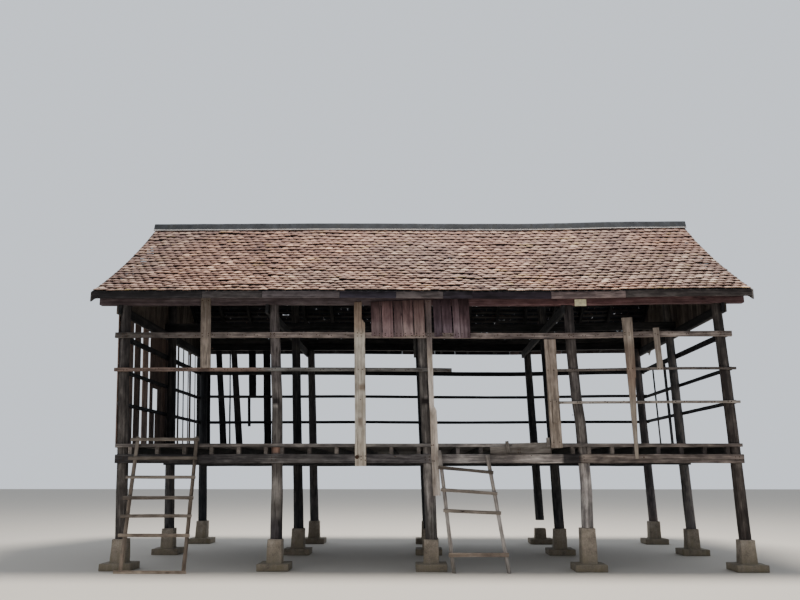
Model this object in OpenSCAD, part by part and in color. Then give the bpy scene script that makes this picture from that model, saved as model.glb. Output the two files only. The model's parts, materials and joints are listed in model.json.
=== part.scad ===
// Timber stilt house: four bays long and two aisles deep, under a tiled gable roof.
// The origin is on the ground under the plinth in the middle of the house.
// +X runs along the ridge to the right, +Y from the open front to the back, +Z up.

/* [Grid of posts] */
// Distance between two neighbouring cross lines of posts
bay = 2250; // [1850:10:2750]
// Distance from the middle row of posts to the front row
front_aisle = 2370; // [1950:10:2900]
// Distance from the middle row of posts to the back row
back_aisle = 2270; // [1850:10:2800]
// Angle by which the whole frame leans to the left, in degrees
lean = 2.4; // [0:0.1:3.5]

/* [Plinths] */
// Side of the square pad under each plinth
pad_w = 450; // [370:5:540]
// Thickness of the pad
pad_h = 100; // [60:5:130]
// Side of the plinth at its foot
plinth_foot = 225; // [200:5:300]
// Side of the plinth at its head
plinth_head = 205; // [185:5:280]
// Height of the plinth heads above the ground
plinth_top = 430; // [360:5:520]
// Height of the one tall plinth in the front row
tall_plinth_top = 590; // [530:5:700]
// Height of the one sunken plinth in the back row
low_plinth_top = 295; // [200:5:340]
// Empty space left over the sunken plinth by the rotten foot of its post
foot_gap = 155; // [40:5:200]

/* [Posts] */
// Diameter of a post at its foot
post_foot = 172; // [140:1:220]
// Narrowing of a post for each metre of its height
post_taper = 8; // [4:1:16]
// Depth that the floor beams are let into the posts
beam_housing = 41; // [30:1:50]
// Depth that the upper girts are let into the posts
girt_housing = 12; // [8:1:20]

/* [Floor] */
// Height of the underside of the floor beams
beam_z = 1503; // [1350:1:1700]
// Height of a floor beam
beam_h = 128; // [110:1:160]
// Thickness of a floor beam
beam_t = 60; // [45:1:70]
// Height of a joist
joist_h = 105; // [80:1:130]
// Width of a joist
joist_w = 55; // [40:1:70]
// Number of equal gaps between the joists of each bay on the left
left_joist_gaps = 5; // [4:1:7]
// Number of equal gaps between the joists of each bay on the right
right_joist_gaps = 6; // [4:1:7]
// Distance that the joist ends stay behind the face of the beam
joist_setback = 14; // [5:1:30]
// Thickness of the floor boards
floor_t = 32; // [22:1:40]
// Width of a floor board with the gap beside it
floor_board_w = 171; // [140:1:220]
// Gap between two floor boards
floor_board_gap = 6; // [3:1:12]
// Height of the bar along the edge of the floor
edge_h = 50; // [42:1:60]
// Thickness of the bar along the edge of the floor
edge_t = 28; // [20:1:36]
// Clear gap between a post and the floor boards and joists beside it
deck_gap = 10; // [6:1:25]

/* [Wall girts] */
// Height of the centre of the lower girt
lower_girt_z = 2390; // [2250:5:2500]
// Height of the centre of the middle girt
middle_girt_z = 2886; // [2760:2:3050]
// Height of the centre of the middle girt of the back wall
back_girt_z = 2920; // [2800:5:3050]
// Height of the centre of the upper girt
upper_girt_z = 3408; // [3300:4:3520]
// Depth of the lower and middle girts
girt_h = 56; // [45:1:75]
// Depth of the two thin girts on the right half of the front
thin_girt_h = 38; // [28:1:50]
// Depth of the upper girt
upper_girt_h = 84; // [70:1:110]
// Distance that the front and back girts run out past the end posts
girt_out = 150; // [140:5:220]
// Distance from the middle line to the broken end of the left middle girt
broken_girt = 430; // [300:10:700]
// Distance by which the short girts of the right half begin before the fourth line
short_girt = 300; // [200:10:320]

/* [Boards] */
// Thickness of wall boards and studs
board_t = 25; // [18:1:32]
// Thickness of the boards of the left wall
side_board_t = 14; // [10:1:25]
// Width of a whole wall board
board_w = 190; // [150:5:220]
// Slit between two wall boards
board_slit = 8; // [3:1:20]

/* [Wall plates and ties] */
// Height of the post tops, which carry the wall plates
post_top = 3880; // [3760:5:4000]
// Height of a wall plate
plate_h = 140; // [110:1:160]
// Width of a wall plate
plate_w = 110; // [90:1:130]
// Height of a tie beam
tie_h = 140; // [110:1:160]
// Thickness of a tie beam
tie_t = 50; // [40:1:60]

/* [Roof] */
// Height of the tiles at the ridge
ridge_z = 5850; // [5600:10:6100]
// Height of the tiles above the front and back rows
roof_at_plate = 4270; // [4240:5:4330]
// Depth by which a slope hangs below a straight line from the ridge to the plate
roof_dip = 64; // [20:1:120]
// Distance that the front eave runs out past the front row
front_eave_out = 400; // [320:5:520]
// Distance that the back eave runs out past the back row
back_eave_out = 480; // [400:5:580]
// Distance that the roof runs out past the end posts
gable_out = 400; // [320:5:520]
// Number of tile courses on each slope
courses = 24; // [18:1:26]
// Thickness of the layer of lapped tiles
tile_t = 36; // [30:1:42]
// Step from one tile course to the next
tile_step = 13; // [8:1:16]
// Height of a tiling batten
batten_h = 26; // [20:1:32]
// Width of a tiling batten
batten_w = 38; // [28:1:50]
// Depth of a rafter, measured upright
rafter_h = 90; // [70:1:110]
// Thickness of a rafter
rafter_t = 50; // [38:1:60]
// Number of equal gaps between the rafters of a bay
rafter_gaps = 4; // [3:1:5]
// Depth that the pole plate is let into the rafters
rafter_seat = 16; // [8:1:24]
// Width of the pole plate under the rafters
pole_plate_w = 80; // [60:1:90]
// Height of the ridge beam
ridge_beam_h = 150; // [120:1:180]
// Thickness of the ridge beam
ridge_beam_t = 70; // [55:1:80]
// Height of the board along the eaves
fascia_h = 100; // [80:1:115]
// Thickness of the boards along the eaves and gables
fascia_t = 25; // [18:1:32]
// Height of a bargeboard
barge_h = 150; // [120:1:180]
// Height of the top of the ridge cap above the tiles
cap_h = 70; // [50:1:100]

/* [Ladders] */
// Diameter of the ladder poles
pole_d = 56; // [46:1:76]
// Height of a ladder rung
rung_h = 36; // [28:1:50]
// Thickness of a ladder rung
rung_t = 30; // [22:1:36]
// Distance of the left ladder's foot from the face that it leans on
left_ladder_out = 370; // [200:10:600]
// Distance of the right ladder's foot from the face that it leans on
right_ladder_out = 240; // [150:10:500]
// Height of the left ladder's head above the floor edge
ladder_head = 100; // [80:5:200]
// Distance of the middle of the left ladder from the first line
left_ladder_place = 620; // [560:10:900]
// Distance between the poles of the left ladder
left_ladder_w = 880; // [700:10:1000]
// Distance of the foot of the right ladder's left pole from the middle line
right_ladder_place = 311; // [280:1:500]
// Distance that the head of that pole has moved to the left of its foot
right_ladder_skew = 181; // [0:1:250]
// Distance between the feet of the right ladder's poles
right_ladder_w = 761; // [600:1:850]
// Distance by which the right ladder is narrower at its head
right_ladder_narrowing = 68; // [0:2:120]
// Height of the lowest rung of the right ladder
right_rung_foot = 243; // [100:1:300]

/* [Hidden] */

$fn = 20;
lines = 5;
last = lines - 1;
half_length = (lines - 1) * bay / 2;
// Distance from a row's centre line to the outer face of its beams and girts
face_out = post_r(beam_z) + beam_t - beam_housing;
// Distance from a row's centre line to the inner face of its girts, and their thickness
girt_in = post_r(upper_girt_z) - girt_housing;
girt_t = face_out - girt_in;
cross_lines = [for (i = [0 : last]) i];
plinth_tops = [[plinth_top, plinth_top, plinth_top, tall_plinth_top, plinth_top],
               [for (i = cross_lines) plinth_top],
               [plinth_top, plinth_top, plinth_top, low_plinth_top, plinth_top]];
cut_line = 3;
front_face = front_aisle + face_out;
back_face = back_aisle + face_out;
// Distance that the floor ends behind the outer faces of the end posts' girts
floor_end_gap = 2;
floor_out = face_out - floor_end_gap;
joist_z = beam_z + beam_h;
floor_z = joist_z + joist_h;
plate_z = post_top;
tie_z = post_top - tie_h;
front_eave = front_aisle + front_eave_out;
back_eave = back_aisle + back_eave_out;
roof_half = half_length + gable_out;
pole_plate_z = plate_z + plate_h;
wood_dark = [0.27, 0.24, 0.22];
wood_grey = [0.45, 0.41, 0.37];
wood_pale = [0.60, 0.55, 0.47];
wood_red = [0.42, 0.29, 0.25];
concrete = [0.62, 0.57, 0.48];
terracotta = [0.62, 0.45, 0.38];
cement = [0.28, 0.28, 0.28];

// How far the leaning frame has moved sideways at a height
function lean_x(z) = -tan(lean) * (z - plinth_top);
// The ties and the whole roof are moved by the lean at the height of the wall plates
roof_lean = lean_x(pole_plate_z);

// Place of a cross line of posts along the house
function line_x(i) = i * bay - half_length;
// Radius of a post at a height
function post_r(z) = (post_foot - post_taper * (z - plinth_top) / 1000) / 2;
// Side of the posts on which a cross line's tie beam and rafters lie
function tie_side(i) = i == last ? 1 : -1;

// Shape of the roof: u is the level distance from the ridge, and aisle that of the row
function roof_z(u, aisle) =
  let (share = u / aisle)
    ridge_z - (ridge_z - roof_at_plate) * share - 4 * roof_dip * share * (1 - share);
function tile_under(u, aisle) = roof_z(u, aisle) - tile_t;
function rafter_top(u, aisle) = tile_under(u, aisle) - batten_h;
function rafter_under(u, aisle) = rafter_top(u, aisle) - rafter_h;
// Level distances from the ridge of the lower edges of the tile courses
function course_edges(eave) = [for (k = [0 : courses]) k * eave / courses];
// Points of one layer's edge along a slope, from the ridge outwards
function under_tiles(aisle, us) = [for (u = us) [u, tile_under(u, aisle)]];
function on_rafters(aisle, us) = [for (u = us) [u, rafter_top(u, aisle)]];
function under_rafters(aisle, us, deep = rafter_h) = [for (u = us) [u, rafter_top(u, aisle) - deep]];
function turned(list) = [for (i = [len(list) - 1 : -1 : 0]) list[i]];
// Every fifth place of a list, and its last
function few(list) = [for (i = [0 : len(list) - 1]) if (i % 5 == 0 || i == len(list) - 1) list[i]];

// Turns its children with the leaning frame about a post's foot
module leaning(x) {
  translate([x, 0, plinth_top])
    rotate([0, -lean, 0])
      translate([0, 0, -plinth_top])
        children();
}

// Box from one level corner to the other
module span(from, to) {
  translate(from)
    cube(to - from);
}

// Box that is moved sideways with the roof
module roof_bar(from, to) {
  translate([roof_lean, 0, 0])
    span(from, to);
}

// Beam along the house between two places on the ground plan, moved by the lean
module long_bar(x0, x1, y0, y1, z0, z1) {
  translate([lean_x((z0 + z1) / 2), 0, 0])
    span([x0, min(y0, y1), z0], [x1, max(y0, y1), z1]);
}

// Outline of [distance from the ridge, height] on the front (-1) or back (1) side,
// with a length along the house from x0 to x1
module across(side, x0, x1, outline) {
  translate([x0, 0, 0])
    rotate([90, 0, 90])
      linear_extrude(x1 - x0)
        polygon([for (p = outline) [side * p[0], p[1]]]);
}

// Square block that narrows towards its head
module tapered_block(foot, head, z0, z1) {
  outline = [[-foot / 2, z0], [foot / 2, z0], [head / 2, z1], [-head / 2, z1]];
  intersection() {
    rotate([90, 0, 0])
      linear_extrude(foot, center = true)
        polygon(outline);
    rotate([90, 0, 90])
      linear_extrude(foot, center = true)
        polygon(outline);
  }
}

module plinth_row(y, tops) {
  for (i = cross_lines)
    translate([line_x(i), y, 0]) {
      translate([-pad_w / 2, -pad_w / 2, 0])
        cube([pad_w, pad_w, pad_h]);
      tapered_block(plinth_foot, plinth_head, pad_h, tops[i]);
    }
}

// Round hewn post from a level foot to a level head; its children are cut out of it
module post(i, y, foot, head) {
  spare = 60;
  reach = bay / 3;
  difference() {
    intersection() {
      leaning(line_x(i))
        translate([0, y, foot - spare])
          cylinder(h = head - foot + 2 * spare, r1 = post_r(foot - spare), r2 = post_r(head + spare));
      translate([line_x(i) + lean_x((foot + head) / 2), y, (foot + head) / 2])
        cube([reach, reach, head - foot], center = true);
    }
    children();
  }
}

module front_plinths() {
  color(concrete)
    plinth_row(-front_aisle, plinth_tops[0]);
}

module middle_plinths() {
  color(concrete)
    plinth_row(0, plinth_tops[1]);
}

module back_plinths() {
  color(concrete)
    plinth_row(back_aisle, plinth_tops[2]);
}

module front_posts() {
  color(wood_grey)
    for (i = cross_lines)
      post(i, -front_aisle, plinth_tops[0][i], post_top) {
        front_floor_beam();
        floor_edge_bars();
        front_lower_girt();
        front_middle_girt();
        front_upper_girt();
        end_wall_girts();
        tie_beams();
      }
}

module middle_posts() {
  color(wood_dark)
    for (i = cross_lines)
      post(i, 0, plinth_tops[1][i], rafter_top(ridge_beam_t / 2, front_aisle) - ridge_beam_h) {
        middle_floor_beam();
        end_wall_girts();
        middle_plate();
        tie_beams();
      }
}

module back_post(i) {
  foot = i == cut_line ? low_plinth_top + foot_gap : plinth_tops[2][i];
  post(i, back_aisle, foot, post_top) {
    back_floor_beam();
    floor_edge_bars();
    back_girts();
    end_wall_girts();
    tie_beams();
  }
}

module back_posts() {
  color(wood_dark)
    for (i = cross_lines)
      if (i != cut_line)
        back_post(i);
}

module cut_back_post() {
  color(wood_dark)
    back_post(cut_line);
}

module floor_beam(outer) {
  inner = outer - sign(outer) * beam_t;
  long_bar(-half_length - floor_out, half_length + floor_out, outer, inner, beam_z, joist_z);
}

module front_floor_beam() {
  color(wood_grey)
    floor_beam(-front_face);
}

module middle_floor_beam() {
  color(wood_dark)
    floor_beam(-face_out);
}

module back_floor_beam() {
  color(wood_dark)
    floor_beam(back_face);
}

// Places of the joists along the house: one on each side of a post, and equal gaps between
by_post = post_r(joist_z) + deck_gap + joist_w / 2;
joist_places = [for (i = [0 : last - 1])
                  let (gaps = i < last / 2 ? left_joist_gaps : right_joist_gaps)
                    for (k = [0 : gaps])
                      line_x(i) + by_post + k * (bay - 2 * by_post) / gaps];

module floor_joists() {
  color(wood_dark)
    for (x = joist_places)
      long_bar(x - joist_w / 2, x + joist_w / 2,
               joist_setback - front_face, back_face - joist_setback, joist_z, floor_z);
}

// Distance from a post's centre line to the floor boards beside it
post_clear = post_r(floor_z) + deck_gap;

// Square holes for the posts of a row, open towards the ends of the house
module post_holes(y) {
  for (i = cross_lines)
    translate([line_x(i) + lean_x(floor_z + floor_t / 2), y, floor_z])
      span([i == 0 ? -face_out : -post_clear, -post_clear, -floor_t],
           [i == last ? face_out : post_clear, post_clear, 2 * floor_t]);
}

// One row of floor boards on the front (-1) or back (1) side, butted over some joists
module floor_row(side, from, to, joints) {
  butt = 3;
  stops = concat([-half_length - floor_out], [for (j = joints) joist_places[j]],
                 [half_length + floor_out]);
  for (n = [0 : len(stops) - 2])
    long_bar(stops[n] + (n == 0 ? 0 : butt / 2), stops[n + 1] - (n == len(stops) - 2 ? 0 : butt / 2),
             side * from, side * to, floor_z, floor_z + floor_t);
}

// Half of the floor: the joints of three rows are staggered, each board reaches over nine
// joists, and the outermost row fills the spaces between the posts
module floor_half(side, aisle) {
  inner = aisle - post_clear;
  count = round(inner / floor_board_w);
  row_w = inner / count;
  reach = 9;
  difference() {
    union() {
      for (k = [0 : count - 1])
        floor_row(side, k * row_w + floor_board_gap / 2, (k + 1) * row_w - floor_board_gap / 2,
                  [for (j = [[4, 7, 1][k % 3] : reach : len(joist_places) - 2]) j]);
      floor_row(side, inner, aisle + face_out - edge_t, []);
    }
    post_holes(0);
    post_holes(side * aisle);
  }
}

module front_floor() {
  color(wood_grey)
    floor_half(-1, front_aisle);
}

module back_floor() {
  color(wood_grey)
    floor_half(1, back_aisle);
}

module floor_edge_bars() {
  color(wood_grey)
    for (y = [[-front_face, edge_t - front_face], [back_face - edge_t, back_face]])
      long_bar(-half_length - floor_out, half_length + floor_out, y[0], y[1], floor_z, floor_z + edge_h);
}

module front_girt(z, h, x0, x1) {
  long_bar(x0, x1, -front_face, girt_t - front_face, z - h / 2, z + h / 2);
}

module front_upper_girt() {
  color(wood_grey)
    front_girt(upper_girt_z, upper_girt_h, -half_length - girt_out, half_length + girt_out);
}

// Thin girt across the last bay, with its broken end before the fourth line
module thin_girt(z) {
  front_girt(z, thin_girt_h, line_x(last - 1) - short_girt, half_length + girt_out);
}

module front_middle_girt() {
  color(wood_grey) {
    front_girt(middle_girt_z, girt_h, -half_length - girt_out, line_x(2) + broken_girt);
    thin_girt(middle_girt_z);
  }
}

module front_lower_girt() {
  color(wood_grey)
    thin_girt(lower_girt_z);
}

// Height and depth of the girts of the back wall and of the end walls
back_rows = [[lower_girt_z, girt_h], [back_girt_z, girt_h], [upper_girt_z, upper_girt_h]];
end_rows = [[lower_girt_z, girt_h], [middle_girt_z, girt_h], [upper_girt_z, upper_girt_h]];

module back_girts() {
  color(wood_dark)
    for (g = back_rows)
      long_bar(-half_length - girt_out, half_length + girt_out,
               back_face - girt_t, back_face, g[0] - g[1] / 2, g[0] + g[1] / 2);
}

// Girts of an end wall, butted between those of the front and back walls
module end_girts(i, side) {
  leaning(line_x(i))
    for (g = end_rows)
      span([side < 0 ? -face_out : girt_in, girt_t - front_face, g[0] - g[1] / 2],
           [side < 0 ? -girt_in : face_out, back_face - girt_t, g[0] + g[1] / 2]);
}

module end_wall_girts() {
  color(wood_dark) {
    end_girts(0, -1);
    end_girts(last, 1);
  }
}

module front_wall_plate() {
  color(wood_red)
    roof_bar([-roof_half, -front_face, plate_z], [roof_half, plate_w - front_face, pole_plate_z]);
}

module middle_plate() {
  color(wood_dark)
    roof_bar([-half_length - girt_out, -face_out, plate_z],
             [half_length + girt_out, beam_t - face_out, pole_plate_z]);
}

module back_wall_plate() {
  color(wood_dark)
    roof_bar([-roof_half, back_face - plate_w, plate_z], [roof_half, back_face, pole_plate_z]);
}

// Tie beams across the house, under the wall plates and beside the posts
module tie_beams() {
  color(wood_dark)
    for (i = cross_lines) {
      near = face_out - tie_t;
      roof_bar([line_x(i) + (tie_side(i) < 0 ? -face_out : near), -front_face, tie_z],
               [line_x(i) + (tie_side(i) < 0 ? -near : face_out), back_face, post_top]);
    }
}

// Pole plate that carries the feet of the rafters, standing on the wall plate
module pole_plate(side, aisle) {
  y0 = side * aisle;
  top = rafter_under(aisle + pole_plate_w / 2, aisle) + rafter_seat;
  roof_bar([-roof_half, min(y0, y0 + side * pole_plate_w), pole_plate_z],
           [roof_half, max(y0, y0 + side * pole_plate_w), top]);
}

module pole_plates() {
  color(wood_dark) {
    pole_plate(-1, front_aisle);
    pole_plate(1, back_aisle);
  }
}

module ridge_beam() {
  top = rafter_top(ridge_beam_t / 2, front_aisle);
  color(wood_dark)
    roof_bar([-roof_half, -ridge_beam_t / 2, top - ridge_beam_h], [roof_half, ridge_beam_t / 2, top]);
}

// Places of the rafters: beside the posts, between them, and one at each gable edge
rafter_places = concat([-roof_half],
                       [for (i = [0 : last - 1]) for (k = [0 : rafter_gaps - 1])
                         line_x(i) - face_out + k * bay / rafter_gaps],
                       [half_length + face_out - rafter_t, roof_half - rafter_t]);

module rafters(side, aisle, eave) {
  tail = eave - fascia_t;
  us = concat([ridge_beam_t / 2], [for (u = course_edges(eave)) if (u > ridge_beam_t && u < tail) u], [tail]);
  difference() {
    for (x = rafter_places)
      across(side, roof_lean + x, roof_lean + x + rafter_t,
             concat(on_rafters(aisle, us), turned(under_rafters(aisle, few(us)))));
    pole_plate(side, aisle);
  }
}

module front_rafters() {
  color(wood_dark)
    rafters(-1, front_aisle, front_eave);
}

module back_rafters() {
  color(wood_dark)
    rafters(1, back_aisle, back_eave);
}

// Battens on which the tile courses hang, one under the head of each course
module battens(side, aisle, eave) {
  edges = course_edges(eave);
  for (k = [1 : courses]) {
    us = [edges[k] - batten_w, edges[k]];
    across(side, roof_lean - roof_half, roof_lean + roof_half,
           concat(on_rafters(aisle, us), turned(under_tiles(aisle, us))));
  }
}

module front_battens() {
  color(wood_dark)
    battens(-1, front_aisle, front_eave - fascia_t);
}

module back_battens() {
  color(wood_dark)
    battens(1, back_aisle, back_eave - fascia_t);
}

// Layer of lapped tiles: each course ends in a step down onto the next one
module tiles(side, aisle, eave) {
  edges = course_edges(eave);
  top = [for (k = [1 : courses]) each [[edges[k - 1], roof_z(edges[k - 1], aisle) - tile_step],
                                       [edges[k], roof_z(edges[k], aisle)]]];
  across(side, roof_lean - roof_half, roof_lean + roof_half,
         concat(top, turned(under_tiles(aisle, edges))));
}

module front_tiles() {
  color(terracotta)
    tiles(-1, front_aisle, front_eave);
}

module back_tiles() {
  color(terracotta)
    tiles(1, back_aisle, back_eave);
}

// Ridge cap of cement, bedded on the first course of each slope
module ridge_cap() {
  lip = 26;
  shoulder = 66;
  round_off = 18;
  course_gap = 5;
  // Half the width of the cap on a slope, and the height of its bed there
  function half_w(eave) = eave / courses - course_gap;
  function bed(aisle, eave) =
    let (edge = eave / courses, head = ridge_z - tile_step)
      head + (roof_z(edge, aisle) - head) * half_w(eave) / edge;
  front_bed = bed(front_aisle, front_eave);
  back_bed = bed(back_aisle, back_eave);
  top = ridge_z + cap_h;
  color(cement)
    across(1, roof_lean - roof_half - fascia_t, roof_lean + roof_half + fascia_t,
           [[-half_w(front_eave), front_bed], [-half_w(front_eave), front_bed + lip],
            [-shoulder, top - round_off], [-shoulder + round_off, top],
            [shoulder - round_off, top], [shoulder, top - round_off],
            [half_w(back_eave), back_bed + lip], [half_w(back_eave), back_bed],
            [0, ridge_z - tile_step]]);
}

module fascia(side, aisle, eave) {
  top = tile_under(eave, aisle);
  roof_bar([-roof_half, min(side * eave, side * (eave - fascia_t)), top - fascia_h],
           [roof_half, max(side * eave, side * (eave - fascia_t)), top]);
}

module eave_fascias() {
  color(wood_grey) {
    fascia(-1, front_aisle, front_eave);
    fascia(1, back_aisle, back_eave);
  }
}

// Boards that close the ends of the battens at both gables, with a saw cut between
// the two at the ridge
module bargeboards() {
  saw_cut = 2;
  color(wood_grey)
    for (x = [-roof_half - fascia_t, roof_half])
      for (s = [[-1, front_aisle, front_eave], [1, back_aisle, back_eave]]) {
        us = [for (u = course_edges(s[2])) max(u, saw_cut)];
        across(s[0], roof_lean + x, roof_lean + x + fascia_t,
               concat(under_tiles(s[1], us), turned(under_rafters(s[1], few(us), barge_h - batten_h))));
      }
}

// Flat pieces on the front, leaning with the frame: their outline holds places from a line
// of posts and heights, and an outer layer lies before the first one
module on_front(i, outline, layer = 0) {
  leaning(line_x(i))
    translate([0, -front_face - layer * board_t, 0])
      rotate([90, 0, 0])
        linear_extrude(board_t)
          polygon(outline);
}

// Outline of an upright board: place, width and height of its foot, then of its head
function upright(foot, head) =
  [[foot[0], foot[2]], [foot[0] + foot[1], foot[2]], [head[0] + head[1], head[2]], [head[0], head[2]]];

board_head = plate_z + plate_h / 2;

// Board with a wide lower part that ends in a slanting edge
module wide_stud() {
  narrow = 116;
  edge = 44;
  slant = 30;
  shift = 58;
  foot = -998 - shift;
  wide_top = upper_girt_z + 250;
  slope = shift / (board_head - beam_z);
  at_top = foot + slope * (wide_top - beam_z);
  on_front(2, [[foot, beam_z], [foot + narrow + edge, beam_z],
               [at_top + narrow + edge, wide_top - slant], [at_top + narrow, wide_top + slant],
               [foot + shift + narrow, board_head], [foot + shift, board_head]]);
}

// Long board that hangs below the floor and widens upwards, with a short strip beside it
module long_stud() {
  foot_z = beam_z - 466;
  strip_top = lower_girt_z - 30;
  on_front(2, [[57, foot_z], [113, foot_z], [124, lower_girt_z], [149, upper_girt_z - 167],
               [168, board_head], [80, board_head]]);
  on_front(2, [[115, foot_z], [165, foot_z], [170, strip_top - 100], [126, strip_top]]);
}

// Board that stands on the floor beam's edge, with two battens nailed on it
module doubled_stud() {
  head_z = upper_girt_z - upper_girt_h / 2;
  batten_foot = lower_girt_z - 293;
  bevel = 16;
  on_front(3, upright([-437, 168, floor_z], [-414, 168, head_z]));
  on_front(3, upright([-437, 34, floor_z + 45], [-414, 41, head_z]), layer = 1);
  on_front(3, [[-381, batten_foot + bevel], [-381 + bevel, batten_foot], [-301 - bevel, batten_foot],
               [-301, batten_foot + bevel], [-282, lower_girt_z + 41], [-362, lower_girt_z + 41]],
           layer = 1);
}

// Board that narrows to a point at its foot, pieced together from two lengths
module pointed_stud() {
  joint = middle_girt_z - 166;
  on_front(3, upright([772, 44, beam_z + 30], [772, 110, joint]));
  on_front(3, upright([772, 124, joint], [772, 156, upper_girt_z + 222]));
}

module front_studs() {
  color(wood_pale) {
    on_front(0, upright([1163, 152, middle_girt_z - 31], [1163, 152, board_head]));
    wide_stud();
    long_stud();
    doubled_stud();
    pointed_stud();
    on_front(3, upright([1222, 88, middle_girt_z - 74], [1222, 88, upper_girt_z + 40]));
  }
}

// Boards between the upper girt and the wall plate: place from the middle line, width
// and height of the lower end above the lowest one
panel_foot = upper_girt_z - 62;
panel = [[-746, 154, 77], [-582, 165, 51], [-402, 125, 51], [-269, 154, 66], [-100, 158, 63],
         [197, 116, 32], [324, 144, 84], [489, 95, 0], [588, 150, 0]];

module front_upper_boards() {
  color(wood_red)
    for (b = panel)
      on_front(2, upright([b[0], b[1], panel_foot + b[2]], [b[0], b[1], board_head]));
}

// Boards left on the back wall of the first bay: place and width of the foot, then of the
// head, from the first line. The last but one has lost its lower part, but for a splinter
splinter_foot = lower_girt_z - 120;
splinter_head = back_girt_z - girt_h;
back_boards = [upright([-175, 285, floor_z], [-175, 285, board_head]),
               upright([322, 142, floor_z], [222, 120, board_head]),
               upright([507, 28, floor_z], [507, 28, board_head]),
               upright([652, 144, floor_z], [546, 118, board_head]),
               upright([890, 58, splinter_foot], [890, 58, splinter_head]),
               upright([917, 150, splinter_head], [917, 150, board_head]),
               upright([1225, 150, floor_z], [1225, 150, board_head])];

module back_wall_boards() {
  color(wood_dark)
    leaning(line_x(0))
      for (b = back_boards)
        translate([0, back_face + board_t, 0])
          rotate([90, 0, 0])
            linear_extrude(board_t)
              polygon(b);
}

// Whole boards that fill a width, as a list of places and widths
function boards_between(from, to) =
  let (count = max(1, round((to - from) / (board_w + board_slit))),
       width = (to - from - (count - 1) * board_slit) / count)
    [for (k = [0 : count - 1]) [from + k * (width + board_slit), width]];

// Boards of the left wall, by their distances from the middle row: the front part is nearly
// closed, and few boards are left at the back
left_groups = [[girt_t - front_face, -1759], [-1673, -1403], [-1279, -1006], [-891, -746], [-475, 382]];
left_singles = concat([[747, 75]],
                      [for (b = [[1159, 39], [814, 30], [710, 98], [304, 24]])
                        [back_aisle - b[0], b[1]]]);

// Board of the left wall from a place, with a width and the heights of its foot and head
module left_board(place, width, z0, z1) {
  leaning(line_x(0))
    span([-face_out - side_board_t, place, z0], [-face_out, place + width, z1]);
}

module left_wall_boards() {
  // The boards' heads stay just under the tie beam
  head = tie_z - 4;
  color(wood_dark) {
    for (g = left_groups)
      for (b = boards_between(g[0], g[1]))
        left_board(b[0], b[1], floor_z, head);
    for (b = left_singles)
      left_board(b[0], b[1], floor_z, head);
    left_board(-740, 259, middle_girt_z - 96, head);
    for (place = [-735, -590])
      left_board(place, 90, floor_z, lower_girt_z + 15);
  }
}

// Boards that close the triangle of a gable, with their heads just clear of the battens
module gable(side) {
  head_gap = 1;
  x = side * (half_length + face_out) + roof_lean;
  for (s = [[-1, front_aisle], [1, back_aisle]])
    for (b = boards_between(board_slit / 2, s[1] + face_out)) {
      u0 = b[0];
      u1 = b[0] + b[1];
      across(s[0], side < 0 ? x - board_t : x, side < 0 ? x : x + board_t,
             [[u0, tie_z], [u1, tie_z], [u1, rafter_top(u1, s[1]) - head_gap],
              [u0, rafter_top(max(u0, ridge_beam_t / 2), s[1]) - head_gap]]);
    }
}

module gable_boards() {
  color(wood_dark)
    difference() {
      union() {
        gable(-1);
        gable(1);
      }
      ridge_beam();
      front_wall_plate();
      back_wall_plate();
      pole_plates();
      middle_plate();
      middle_posts();
    }
}

module right_wall_stud() {
  color(wood_dark)
    leaning(line_x(last))
      for (b = [[810, 100], [1590, 35]])
        span([face_out, b[0], floor_z], [face_out + board_t, b[0] + b[1], upper_girt_z]);
}

// Plank nailed over the floor beam and the joist ends, with two cleats before it
module beam_patch_board() {
  place = 920;
  length = 880;
  height = 158;
  notch = [320, 40];
  lap = 10;
  cleat_w = 50;
  tilt = 1.5;
  color(wood_pale)
    translate([line_x(2) + place + lean_x(joist_z), -front_face, joist_z - lap])
      rotate([0, -tilt, 0]) {
        rotate([90, 0, 0])
          linear_extrude(board_t)
            polygon([[0, 0], [length, 0], [length, height], [notch[0], height],
                     [notch[0], height - notch[1]], [0, height - notch[1]]]);
        // Cleats: place, height of the foot, length and lean to the left
        for (c = [[245, 15, 174, 7], [822, 88, 136, 0]])
          translate([c[0], -2 * board_t, c[1]])
            rotate([0, -c[3], 0])
              cube([cleat_w, board_t, c[2]]);
      }
}

// Pole hewn to ten faces between two points
module pole(from, to, d) {
  along = to - from;
  translate(from)
    rotate([0, acos(along[2] / norm(along)), atan2(along[1], along[0])])
      cylinder(h = norm(along), d = d, $fn = 10);
}

// A ladder's pole stands on the ground and leans on a face. Its list holds the places of its
// foot and head along the house, the height of its head, the face, the height at which it
// touches it, and the distance of its foot from it
pole_rest = pole_d / 2 + 1;
function pole_foot(p) = [p[0], p[3] - p[5], 0];
function pole_climb(p) = [p[1] - p[0], (p[5] - pole_rest) * p[2] / p[4], p[2]];
function on_pole(p, z) = pole_foot(p) + pole_climb(p) * z / p[2];

// Square rungs, let into the front of the poles. Each has its heights on the left and the
// right pole, and ends holds the lengths that they run out past the two poles
module ladder_rungs(left, right, heights, ends) {
  let_in = 14;
  for (h = heights) {
    from = on_pole(left, h[0]);
    along = on_pole(right, h[1]) - from;
    translate(from)
      rotate([0, -asin(along[2] / norm(along)), atan2(along[1], along[0])])
        translate([-pole_d / 2 - ends[0], let_in - pole_d / 2 - rung_t, -rung_h / 2])
          cube([norm(along) + pole_d + ends[0] + ends[1], rung_t, rung_h]);
  }
}

// Poles cut level at the ground; the rungs are their children
module ladder_poles(left, right) {
  difference() {
    for (p = [left, right])
      pole(pole_foot(p) - pole_climb(p) * pole_d / p[2], pole_foot(p) + pole_climb(p), pole_d);
    children();
    translate([left[0] - bay / 2, left[3] - 2 * left[5], -2 * pole_d])
      cube([2 * bay, 2 * left[5], 2 * pole_d]);
  }
}

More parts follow.
